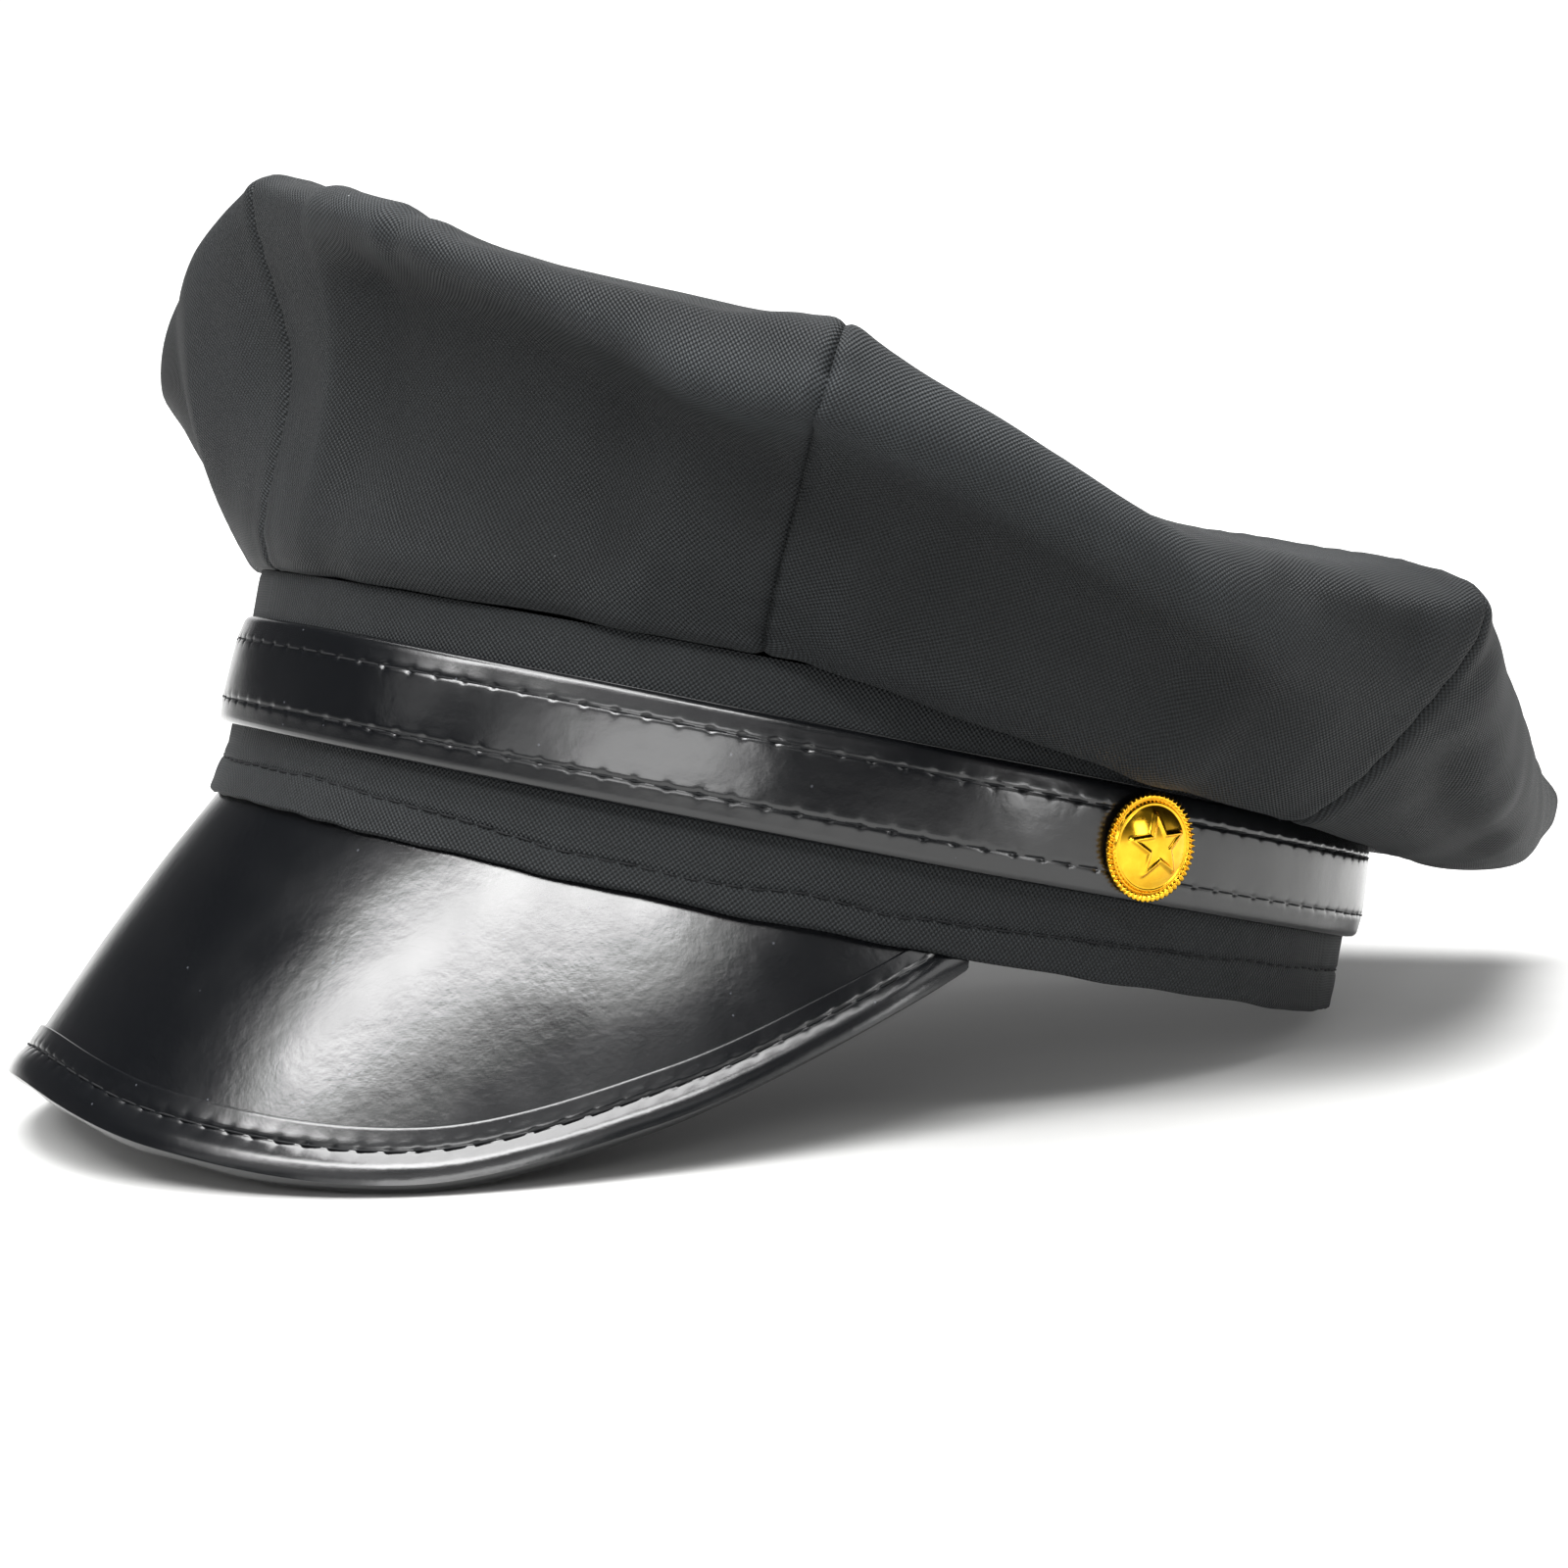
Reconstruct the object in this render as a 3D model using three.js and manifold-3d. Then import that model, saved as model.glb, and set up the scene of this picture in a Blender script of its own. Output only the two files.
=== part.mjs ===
// A chauffeur cap: a soft six-gore cloth crown on a tall cloth band, a glossy patent strap
// with a gilt button at each end, and a steep glossy visor with a folded binding.
// Units are millimetres. The visor points along +X, the wearer's left is +Y and Z is up.
import * as THREE from 'three';
import Module from 'manifold-3d';
import { mergeVertices } from 'three/addons/utils/BufferGeometryUtils.js';

// Head band
const bandLength = 202; // outside, front to back
const bandWidth = 166.4; // outside, ear to ear
const bandHeight = 40.2; // hem to the crown seam
const bandWall = 1.4; // doubled cloth with its stiffener
const hemLift = 2.4; // the hem arches this much over the visor
const hemFlare = 1.8; // the hem stands out this much over the visor
const hemTurn = 8; // height of the turned-up hem
const ringSteps = 72;

// Patent strap
const strapWidth = 18.3;
const strapBase = 13.5; // lower edge above the hem
const strapLift = 0.7; // the strap climbs this much at the front
const strapSheet = 1.2;
const strapPuff = 0.3; // the folded borders stand this much proud

// Visor
const visorReach = 59.5; // widest, measured down its slope
const visorSheet = 1.8;
const visorSpan = THREE.MathUtils.degToRad(90); // each side of the front
const visorTuck = 6; // flange that goes up inside the band
const visorSteps = 40;

// Visor binding
const bindingSheet = 0.9;
const bindingLeaf = 10; // width of the leaf on the visor's face
const bindingUnder = 8; // width of the leaf on the visor's underside
const bindingEnd = 0.955; // share of the visor's span where the binding goes under the hem

// Crown
const crownReach = 120; // plain radius of the crown's corner ring
const crownRise = 61.5; // front corner above the crown seam
const crownFold = 12; // how far the slack cloth folds out and down over the band
const crownWall = 1.2;
const apexRise = 0.65; // share of the crown rise at the top centre
const apexRadius = 1.6; // the gore tips stop here
const goreSteps = 7;

// Buttons
const buttonDiameter = 16.6;
const buttonRim = 1.4;
const buttonDome = 1.3;
const starRadius = 5;
const starRelief = 0.35;
const postDiameter = 3;
const postHead = 6;
const postHeadSheet = 0.8;
const buttonAngle = THREE.MathUtils.degToRad(103.3); // round the band from the front

// Clearance between pieces that are sewn or pressed together
const gap = 0.3;

// Visor sections, from the front centre (0) to its end (1) as shares of the span.
// Width is a share of visorReach and slope is degrees below the band's plane.
const visorSections = [
  { at: 0, width: 0.975, slope: 63.8 },
  { at: 0.25, width: 1, slope: 66.6 },
  { at: 0.5, width: 0.905, slope: 68.8 },
  { at: 0.7, width: 0.605, slope: 70.6 },
  { at: 0.85, width: 0.31, slope: 71.6 },
  { at: 1, width: 0, slope: 72.4 },
];

// Crown sections, one at each seam and one down the middle of each gore, front to back.
// fold is [out, down] as shares of crownFold, from the crown seam.
// side, ridge and top are [reach, rise] as shares of crownReach and crownRise.
// turn is how far the ridge leans back round the head, in degrees.
const crownSections = [
  { angle: 0, turn: 0, fold: [0.25, -0.42], side: [0.915, 0.55], ridge: [0.97, 1.02], top: [0.52, 0.88] },
  { angle: 30, turn: 0, fold: [0.33, -0.42], side: [1.045, 0.49], ridge: [0.95, 0.885], top: [0.5, 0.77] },
  { angle: 60, turn: 3.5, fold: [0.21, -0.25], side: [0.89, 0.39], ridge: [1.03, 0.76], top: [0.52, 0.7] },
  { angle: 90, turn: 0, fold: [0.54, 0.48], side: [0.885, 0.1], ridge: [0.94, 0.465], top: [0.48, 0.56] },
  { angle: 120, turn: 0, fold: [0.92, 0.75], side: [0.965, 0.14], ridge: [1.03, 0.505], top: [0.52, 0.605] },
  { angle: 150, turn: 0, fold: [0.75, 0.98], side: [1.02, -0.08], ridge: [0.995, 0.25], top: [0.55, 0.47] },
  { angle: 180, turn: 0, fold: [1, 0.75], side: [1.22, -0.09], ridge: [1.29, 0.08], top: [0.66, 0.39] },
];
// Rows of facets between foot, fold, side, ridge, top and apex
const crownRows = [2, 3, 4, 4, 2];

const halfLength = bandLength / 2;
const halfWidth = bandWidth / 2;
// The button's back clears the strap's puffed borders
const buttonStand = gap + strapSheet + strapPuff + gap;

// Point beside the band's outline: t goes round from the front, offset is outward.
function besideBand(t, offset, z) {
  const normal = new THREE.Vector2(Math.cos(t) / halfLength, Math.sin(t) / halfWidth).normalize();
  const x = halfLength * Math.cos(t) + offset * normal.x;
  const y = halfWidth * Math.sin(t) + offset * normal.y;
  return new THREE.Vector3(x, y, z);
}

// 1 at the front, falling smoothly to 0 at the sides and behind
function frontShare(t) {
  const c = Math.max(0, Math.cos(t));
  return c * c * (3 - 2 * c);
}

function hemHeight(t) {
  return hemLift * Math.max(0, Math.cos(t)) ** 2;
}

// Closed mesh from a row of sections. Each section is a closed loop of points that goes up
// the outer side and down the inner one, with as many points on each. The row closes on
// itself as a ring, or its two ends are closed by ladders between the two sides.
function sweep(sections, ring) {
  const count = sections[0].length;
  const positions = sections.flat().flatMap((p) => [p.x, p.y, p.z]);
  const index = [];
  const spans = ring ? sections.length : sections.length - 1;
  for (let i = 0; i < spans; i += 1) {
    const a = i * count;
    const b = ((i + 1) % sections.length) * count;
    for (let j = 0; j < count; j += 1) {
      const k = (j + 1) % count;
      index.push(a + j, b + j, b + k, a + j, b + k, a + k);
    }
  }
  if (!ring) {
    const end = spans * count;
    for (let j = 0; j < count / 2 - 1; j += 1) {
      const c = count - 2 - j;
      const d = count - 1 - j;
      index.push(j, j + 1, c, j, c, d);
      index.push(end + j, end + c, end + j + 1, end + j, end + d, end + c);
    }
  }
  const geometry = new THREE.BufferGeometry();
  geometry.setAttribute('position', new THREE.Float32BufferAttribute(positions, 3));
  geometry.setIndex(index);
  return geometry;
}

// Value of a column of a section table at s, through a smooth curve
function between(table, column, s) {
  const last = table.length - 2;
  const next = table.findIndex((row) => row.at > s);
  const i = next < 0 ? last : next - 1;
  const from = table[i];
  const to = table[i + 1];
  const span = to.at - from.at;
  const slopeAt = (k) => {
    if (k === 0) return 0;
    const before = table[k - 1];
    const after = table[Math.min(k + 1, last + 1)];
    return (after[column] - before[column]) / (after.at - before.at);
  };
  const u = (s - from.at) / span;
  const bend = (1 - u) * (1 - u) * u * slopeAt(i) - (1 - u) * u * u * slopeAt(i + 1);
  const blend = u * u * (3 - 2 * u);
  return from[column] + (to[column] - from[column]) * blend + bend * span;
}

function solid(wasm, geometry) {
  const plain = geometry.clone();
  plain.deleteAttribute('normal');
  plain.deleteAttribute('uv');
  const merged = mergeVertices(plain, 1e-4);
  const vertProperties = new Float32Array(merged.attributes.position.array);
  const triVerts = new Uint32Array(merged.index.array);
  return new wasm.Manifold(new wasm.Mesh({ numProp: 3, vertProperties, triVerts }));
}

function shape(manifold) {
  const mesh = manifold.getMesh();
  const geometry = new THREE.BufferGeometry();
  geometry.setAttribute('position', new THREE.Float32BufferAttribute(mesh.vertProperties, 3));
  geometry.setIndex(Array.from(mesh.triVerts));
  return geometry;
}

function ringSections(profile) {
  const sections = [];
  for (let i = 0; i < ringSteps; i += 1) {
    const t = (2 * Math.PI * i) / ringSteps;
    sections.push(profile(t));
  }
  return sections;
}

function bandGeometry() {
  return sweep(ringSections((t) => {
    const hem = hemHeight(t);
    const flare = hemFlare * frontShare(t);
    return [
      besideBand(t, flare, hem),
      besideBand(t, flare * 0.5, hem + hemTurn * 0.5),
      besideBand(t, 0, hem + hemTurn),
      besideBand(t, 0, bandHeight),
      besideBand(t, -bandWall, bandHeight),
      besideBand(t, -bandWall, hem + hemTurn),
      besideBand(t, flare * 0.5 - bandWall, hem + hemTurn * 0.5),
      besideBand(t, flare - bandWall, hem),
    ];
  }), true);
}

function strapGeometry() {
  return sweep(ringSections((t) => {
    const base = strapBase + strapLift * Math.max(0, Math.cos(t)) ** 2;
    const face = gap + strapSheet;
    const at = (offset, share) => besideBand(t, offset, base + strapWidth * share);
    return [
      at(gap, 0),
      at(face, 0),
      at(face + strapPuff, 0.07),
      at(face, 0.24),
      at(face, 0.76),
      at(face + strapPuff, 0.93),
      at(face, 1),
      at(gap, 1),
    ];
  }), true);
}

// Point on the visor: d is the distance down its slope from the hem, deep is how far
// under its upper face the point lies.
function onVisor(t, d, deep) {
  const s = Math.min(1, Math.abs(t) / visorSpan);
  const slope = THREE.MathUtils.degToRad(between(visorSections, 'slope', s));
  const start = hemFlare * frontShare(t) - bandWall - gap;
  const out = start + d * Math.cos(slope) - deep * Math.sin(slope);
  return besideBand(t, out, hemHeight(t) - d * Math.sin(slope) - deep * Math.cos(slope));
}

function visorWidth(t) {
  const s = Math.min(1, Math.abs(t) / visorSpan);
  return visorReach * Math.max(0, between(visorSections, 'width', s));
}

// Places of the visor's sections round the band, out to a share of its span on each side
function visorTurns(share) {
  const turns = [];
  for (let i = 0; i <= visorSteps; i += 1) {
    const s = (2 * i) / visorSteps - 1;
    if (Math.abs(s) <= share) turns.push(visorSpan * s);
  }
  return turns;
}

function visorGeometry() {
  const stations = [0, 0.25, 0.5, 0.75, 1];
  const tuckOffset = -bandWall - gap;
  const edge = bindingSheet + gap;
  const sections = visorTurns(1).map((t) => {
    const width = Math.max(visorSheet, visorWidth(t) - edge);
    const upper = stations.map((share) => onVisor(t, width * share, 0));
    const lower = stations.map((share) => onVisor(t, width * share, visorSheet));
    const tuckZ = hemHeight(t) + visorTuck;
    const tuck = [besideBand(t, tuckOffset, tuckZ), besideBand(t, tuckOffset - visorSheet, tuckZ)];
    return [...upper.reverse(), ...tuck, ...lower];
  });
  return sweep(sections, false);
}

function bindingGeometry() {
  const face = bindingSheet + gap; // the leaf's outer face stands this far off the visor
  const under = visorSheet + gap; // depth of the lower leaf's inner face
  const sections = visorTurns(bindingEnd).map((t) => {
    const width = visorWidth(t);
    const room = width - 2 * face;
    const leaf = width - Math.min(bindingLeaf, room);
    const leafUnder = width - Math.min(bindingUnder, room);
    const inside = width - bindingSheet;
    return [
      onVisor(t, leafUnder, under + bindingSheet),
      onVisor(t, width - face * 0.6, under + bindingSheet),
      onVisor(t, width, under + bindingSheet * 0.3),
      onVisor(t, width, -face * 0.3),
      onVisor(t, width - face * 0.6, -face),
      onVisor(t, leaf, -face),
      onVisor(t, leaf, -gap),
      onVisor(t, inside - gap, -gap),
      onVisor(t, inside, 0),
      onVisor(t, inside, visorSheet),
      onVisor(t, inside - gap, under),
      onVisor(t, leafUnder, under),
    ];
  });
  return sweep(sections, false);
}

function bandRadius(angle) {
  return 1 / Math.hypot(Math.cos(angle) / halfLength, Math.sin(angle) / halfWidth);
}

function around(radius, angle, z) {
  return new THREE.Vector3(radius * Math.cos(angle), radius * Math.sin(angle), z);
}

// The crown's line from the seam up over the ridge to the apex, for one section row
function crownLine(row) {
  const angle = THREE.MathUtils.degToRad(row.angle);
  const turn = THREE.MathUtils.degToRad(row.turn);
  const place = ([reach, rise], lean) => (
    around(crownReach * reach, angle + turn * lean, bandHeight + crownRise * rise)
  );
  return {
    fold: new THREE.Vector2(row.fold[0], row.fold[1]).multiplyScalar(crownFold),
    side: place(row.side, 0.5),
    ridge: place(row.ridge, 1),
    top: place(row.top, 0.5),
  };
}

// Smooth mix of the two seam lines and the line down the middle of a gore
function mix(kind, lines, u) {
  const weights = [(1 - u) * (1 - 2 * u), 4 * u * (1 - u), u * (2 * u - 1)];
  const sum = lines[0][kind].clone().multiplyScalar(weights[0]);
  sum.addScaledVector(lines[1][kind], weights[1]);
  return sum.addScaledVector(lines[2][kind], weights[2]);
}

// Outer face of a gore as columns of points from the band seam to the apex.
// first is the row of crownSections at the gore's front seam.
function goreColumns(first) {
  const rows = [0, 1, 2].map((k) => crownSections[first + k]);
  const lines = rows.map(crownLine);
  const columns = [];
  for (let i = 0; i <= goreSteps; i += 1) {
    const u = i / goreSteps;
    const angle = THREE.MathUtils.degToRad(rows[0].angle + (rows[2].angle - rows[0].angle) * u);
    const foot = bandRadius(angle) + gap;
    const fold = mix('fold', lines, u);
    const knots = [
      around(foot, angle, bandHeight + 2 * gap),
      around(foot + fold.x, angle, bandHeight - fold.y),
      mix('side', lines, u),
      mix('ridge', lines, u),
      mix('top', lines, u),
      around(apexRadius, angle, bandHeight + crownRise * apexRise),
    ];
    const curve = new THREE.CatmullRomCurve3(knots, false, 'centripetal');
    const column = [];
    crownRows.forEach((count, k) => {
      for (let j = 0; j < count; j += 1) column.push(curve.getPoint((k + j / count) / crownRows.length));
    });
    column.push(knots[knots.length - 1]);
    columns.push(column);
  }
  return columns;
}

// Unit normals of the outer face, pointing out of the cap
function goreNormals(columns) {
  const clamp = (k, count) => Math.min(count - 1, Math.max(0, k));
  return columns.map((column, i) => column.map((point, j) => {
    const left = columns[clamp(i - 1, columns.length)][j];
    const right = columns[clamp(i + 1, columns.length)][j];
    const along = column[clamp(j + 1, column.length)].clone().sub(column[clamp(j - 1, column.length)]);
    const normal = right.clone().sub(left).cross(along);
    if (i === 0 || i === columns.length - 1) {
      // At a seam the wall's edge stays in the upright plane of the seam
      const across = new THREE.Vector3(-point.y, point.x, 0).normalize();
      normal.addScaledVector(across, -normal.dot(across));
    }
    return normal.normalize();
  }));
}

function goreGeometry(first) {
  const columns = goreColumns(first);
  const normals = goreNormals(columns);
  const last = columns.length - 1;
  const sections = columns.map((column, i) => {
    const outer = column.map((point) => {
      const shift = new THREE.Vector3(-point.y, point.x, 0).normalize().multiplyScalar(gap / 2);
      if (i === 0) return point.clone().add(shift);
      if (i === last) return point.clone().sub(shift);
      return point.clone();
    });
    const inner = outer.map((point, j) => point.clone().addScaledVector(normals[i][j], -crownWall));
    return [...outer, ...inner.reverse()];
  });
  return sweep(sections, false);
}

// The same shape on the other side of the cap, with its faces still pointing out
function mirrored(geometry) {
  const copy = geometry.clone().scale(1, -1, 1);
  const index = Array.from(copy.index.array);
  for (let i = 0; i < index.length; i += 3) {
    [index[i], index[i + 1]] = [index[i + 1], index[i]];
  }
  copy.setIndex(index);
  return copy;
}

function starShape(radius) {
  const outline = new THREE.Shape();
  const inner = radius * 0.382;
  for (let i = 0; i < 10; i += 1) {
    const r = i % 2 === 0 ? radius : inner;
    const angle = Math.PI / 2 + (i * Math.PI) / 5;
    const x = r * Math.cos(angle);
    const y = r * Math.sin(angle);
    if (i === 0) outline.moveTo(x, y);
    else outline.lineTo(x, y);
  }
  outline.closePath();
  return outline;
}

// Button along +Z: its flat back is at z = 0, its post runs down through strap and band
function buttonGeometry(wasm) {
  const radius = buttonDiameter / 2;
  const post = postDiameter / 2;
  const stem = buttonStand + bandWall + gap;
  const profile = [
    [0, -stem - postHeadSheet],
    [postHead / 2, -stem - postHeadSheet],
    [postHead / 2, -stem],
    [post, -stem],
    [post, 0],
    [radius * 0.93, 0],
    [radius, buttonRim * 0.35],
    [radius * 0.97, buttonRim],
    [radius * 0.84, buttonRim],
    [radius * 0.8, buttonRim * 0.75],
    [radius * 0.5, buttonRim * 0.75 + buttonDome * 0.7],
    [0, buttonRim * 0.75 + buttonDome],
  ].map(([r, z]) => new THREE.Vector2(r, z));
  const body = new THREE.LatheGeometry(profile, 28).rotateX(Math.PI / 2);
  const depth = buttonDome + starRelief;
  const star = new THREE.ExtrudeGeometry(starShape(starRadius), { depth, bevelEnabled: false });
  star.translate(0, 0, buttonRim * 0.75);
  return shape(solid(wasm, body).add(solid(wasm, star)));
}

// Round hole for a button's post, through strap and band
function postHole() {
  const radius = postDiameter / 2 + gap;
  const length = 4 * (bandWall + strapSheet + gap);
  return new THREE.CylinderGeometry(radius, radius, length, 16).rotateX(Math.PI / 2);
}

// Place of a button on the strap: side is +1 for the wearer's left, -1 for the right
function buttonPlace(side) {
  const t = buttonAngle * side;
  const z = strapBase + strapWidth / 2;
  const point = besideBand(t, buttonStand, z);
  const outward = besideBand(t, 1, z).sub(besideBand(t, 0, z));
  const up = new THREE.Vector3(0, 0, 1);
  const across = up.clone().cross(outward);
  const matrix = new THREE.Matrix4().makeBasis(across, up, outward);
  return matrix.setPosition(point);
}

function drilled(wasm, geometry) {
  let body = solid(wasm, geometry);
  for (const side of [1, -1]) {
    const hole = postHole().applyMatrix4(buttonPlace(side));
    body = body.subtract(solid(wasm, hole));
  }
  return shape(body);
}

const wasm = await Module();
wasm.setup();

const cloth = { color: 0x26282a, roughness: 0.9, metalness: 0 };
const patent = { color: 0x0b0b0d, roughness: 0.12, metalness: 0 };
const gilt = { color: 0xe2b33c, roughness: 0.22, metalness: 1 };

const cap = new THREE.Group();

function addPiece(name, geometry, look) {
  const piece = new THREE.Mesh(geometry, new THREE.MeshStandardMaterial(look));
  piece.name = name;
  cap.add(piece);
  return piece;
}

const band = addPiece('head_band', drilled(wasm, bandGeometry()), cloth);
addPiece('patent_strap', drilled(wasm, strapGeometry()), patent);
addPiece('visor', visorGeometry(), patent);
const binding = addPiece('visor_binding', bindingGeometry(), patent);

['front', 'side', 'rear'].forEach((place, k) => {
  const geometry = goreGeometry(2 * k);
  addPiece(`crown_gore_${place}_left`, geometry, cloth);
  addPiece(`crown_gore_${place}_right`, mirrored(geometry), cloth);
});

for (const [side, name] of [[1, 'button_left'], [-1, 'button_right']]) {
  const button = addPiece(name, buttonGeometry(wasm), gilt);
  buttonPlace(side).decompose(button.position, button.quaternion, button.scale);
}

// Lowest point of a piece when the cap's front is raised by the angle tilt
function lowest(piece, tilt) {
  const place = piece.geometry.attributes.position;
  let low = Infinity;
  for (let i = 0; i < place.count; i += 1) {
    low = Math.min(low, place.getX(i) * Math.sin(tilt) + place.getZ(i) * Math.cos(tilt));
  }
  return low;
}

// The cap stands on the visor's edge and on the back of its hem
function restTilt() {
  let flat = 0;
  let steep = Math.PI / 4;
  for (let i = 0; i < 40; i += 1) {
    const tilt = (flat + steep) / 2;
    if (lowest(binding, tilt) < lowest(band, tilt)) flat = tilt;
    else steep = tilt;
  }
  return (flat + steep) / 2;
}

cap.rotation.y = -restTilt();
cap.updateMatrixWorld(true);
const box = new THREE.Box3().setFromObject(cap, true);
const middle = box.getCenter(new THREE.Vector3());
cap.position.set(-middle.x, -middle.y, -box.min.z);

const group = new THREE.Group();
group.add(cap);
export default group;
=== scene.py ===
# %% [markdown]
# A chauffeur cap is a limp cloth crown of six gores, sewn to a tall cloth band. A glossy
# patent strap runs round the band with a gilt button at each side, and a steep patent visor
# with a folded, stitched binding hangs from the hem. This lesson builds the cap from soft
# sheets and rows of thread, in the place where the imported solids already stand.

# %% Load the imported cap
import math

import bpy
import numpy as np
from mathutils import Matrix, Quaternion, Vector


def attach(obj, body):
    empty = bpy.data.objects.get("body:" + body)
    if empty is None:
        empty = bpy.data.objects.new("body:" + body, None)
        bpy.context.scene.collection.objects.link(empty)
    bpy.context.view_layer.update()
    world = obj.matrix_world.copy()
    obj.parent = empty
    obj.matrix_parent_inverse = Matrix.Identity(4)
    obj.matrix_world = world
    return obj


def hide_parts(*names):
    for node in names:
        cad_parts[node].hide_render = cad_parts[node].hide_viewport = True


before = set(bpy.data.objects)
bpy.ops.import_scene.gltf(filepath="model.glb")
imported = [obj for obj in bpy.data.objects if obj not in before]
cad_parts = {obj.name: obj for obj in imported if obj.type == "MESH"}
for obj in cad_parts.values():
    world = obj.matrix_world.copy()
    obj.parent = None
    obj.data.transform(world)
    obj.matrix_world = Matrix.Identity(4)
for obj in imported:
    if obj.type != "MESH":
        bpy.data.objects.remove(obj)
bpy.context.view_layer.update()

print("nodes:", sorted(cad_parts))

# %% [markdown]
# The cap's maker measures it along its head band: x to the visor, y to the wearer's left and
# z up the band, in millimetres. On a table the cap leans back, because it stands on the
# visor's edge and on the hem behind. Working in the band's own frame keeps every number
# simple, and one function at the end leans each finished point back and turns it to metres.

# %% From the band's frame to the table
TILT = math.radians(15.223434)  # the front of the band is raised by this angle
SHIFT = np.array([12.744007, 0.0, 26.520969])
MM = 0.001


def lean(vectors):
    x, y, z = (np.asarray(vectors, float)[..., k] for k in range(3))
    c, s = math.cos(TILT), math.sin(TILT)
    return np.stack([x * c - z * s, y, x * s + z * c], -1)


def on_table(points):
    return (lean(points) + SHIFT) * MM


print("the hem's middle stands at", on_table([0, 0, 0]).round(4))

# %% [markdown]
# The camera stands at the wearer's left, a little in front and barely above the band, with a
# long lens. A long lens could be replaced by a short one further in, but then the near
# button would look too large beside the visor, so the distance comes first and the lens
# follows from the picture's size. The camera is turned a little, as a hand-held one is.

# %% Camera
EYE_AZIMUTH = math.radians(66.76)  # from the visor towards the wearer's left
EYE_HEIGHT = math.radians(0.127)
EYE_DISTANCE = 713.4
EYE_TARGET = np.array([0.0, 0.0, 23.0])
ROLL = math.radians(10.747)  # in the band's frame, most of which the lean takes up
SENSOR = 36.0  # mm
PICTURE_SIDE, FOCAL_LENGTH = 1600, 4148.0  # in the picture's pixels
LENS = FOCAL_LENGTH / PICTURE_SIDE * SENSOR


def unit(v):
    v = np.asarray(v, float)
    return v / np.linalg.norm(v, axis=-1, keepdims=True)


def link(name, data):
    """New object with that data, linked to the scene."""
    made = bpy.data.objects.new(name, data)
    bpy.context.scene.collection.objects.link(made)
    return made


back = np.array([
    math.cos(EYE_HEIGHT) * math.cos(EYE_AZIMUTH),
    math.cos(EYE_HEIGHT) * math.sin(EYE_AZIMUTH),
    math.sin(EYE_HEIGHT),
])
side = unit(np.cross(-back, [0, 0, 1]))
rise = np.cross(side, -back)
right = math.cos(ROLL) * side + math.sin(ROLL) * rise
upward = math.cos(ROLL) * rise - math.sin(ROLL) * side
camera_data = bpy.data.cameras.new("camera")
camera_data.lens = LENS
camera_data.sensor_width = SENSOR
camera_data.shift_x = -0.0147
camera_data.shift_y = -0.0036
camera = link("camera", camera_data)
turn = Matrix(np.stack([lean(right), lean(upward), lean(back)], 1).tolist()).to_4x4()
eye = on_table(EYE_TARGET + EYE_DISTANCE * back)
camera.matrix_world = Matrix.Translation(Vector(eye)) @ turn
bpy.context.scene.camera = camera
print("camera at", eye.round(3), "with a lens of", round(LENS, 1), "mm")

# %% [markdown]
# Every finish below is a small tree of nodes. Colours are read off as sRGB hex values, which
# is how paint and cloth colours are usually written down, and one function turns them to the
# linear values that light needs. One more function adds a node with its settings and links,
# so that a tree reads as a list.

# %% Colour and node helpers
MIX_A, MIX_B, MIXED = 6, 7, 2  # a mix node's two colour inputs and its colour output


def linear(hex_colour):
    values = [int(hex_colour[i:i + 2], 16) / 255 for i in (1, 3, 5)]
    curve = [v / 12.92 if v <= 0.04045 else ((v + 0.055) / 1.055) ** 2.4 for v in values]
    return (*curve, 1.0)


def add(tree, kind, settings=None, links=None):
    node = tree.nodes.new(kind)
    for key, value in (settings or {}).items():
        if isinstance(key, str) and hasattr(node, key):
            setattr(node, key, value)
        else:
            node.inputs[key].default_value = value
    for key, socket in (links or {}).items():
        tree.links.new(socket, node.inputs[key])
    return node


def new_material(name):
    material = bpy.data.materials.new(name)
    material.use_nodes = True
    material.node_tree.nodes.clear()
    return material, material.node_tree


def show(tree, shader):
    add(tree, "ShaderNodeOutputMaterial", {}, {"Surface": shader.outputs[0]})


print("charcoal is", [round(v, 4) for v in linear("#2a2c2e")])

# %% [markdown]
# The crown and the band are one black polyester suiting, plain woven from bright filament
# yarn. Its thread tops lie about 0.5 mm apart, which just shows in the picture, so they are
# drawn a fifth coarser. A flat black would look like paper. The thread tops are painted
# lighter and the holes between them darker, a painted highlight and painted shade, the yarn is
# a little uneven, and a few specks of lint sit on top. Fold crests are painted paler and fold
# hollows darker, as painted highlight and painted shade. The weave is drawn in the cloth's own
# coordinates, laid down in millimetres.

# %% Woven black polyester
THREAD = 0.42  # mm between threads, a fifth coarser than the real ones
SLUB = 9.0  # mm, length over which the yarn gets thicker and thinner


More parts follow.
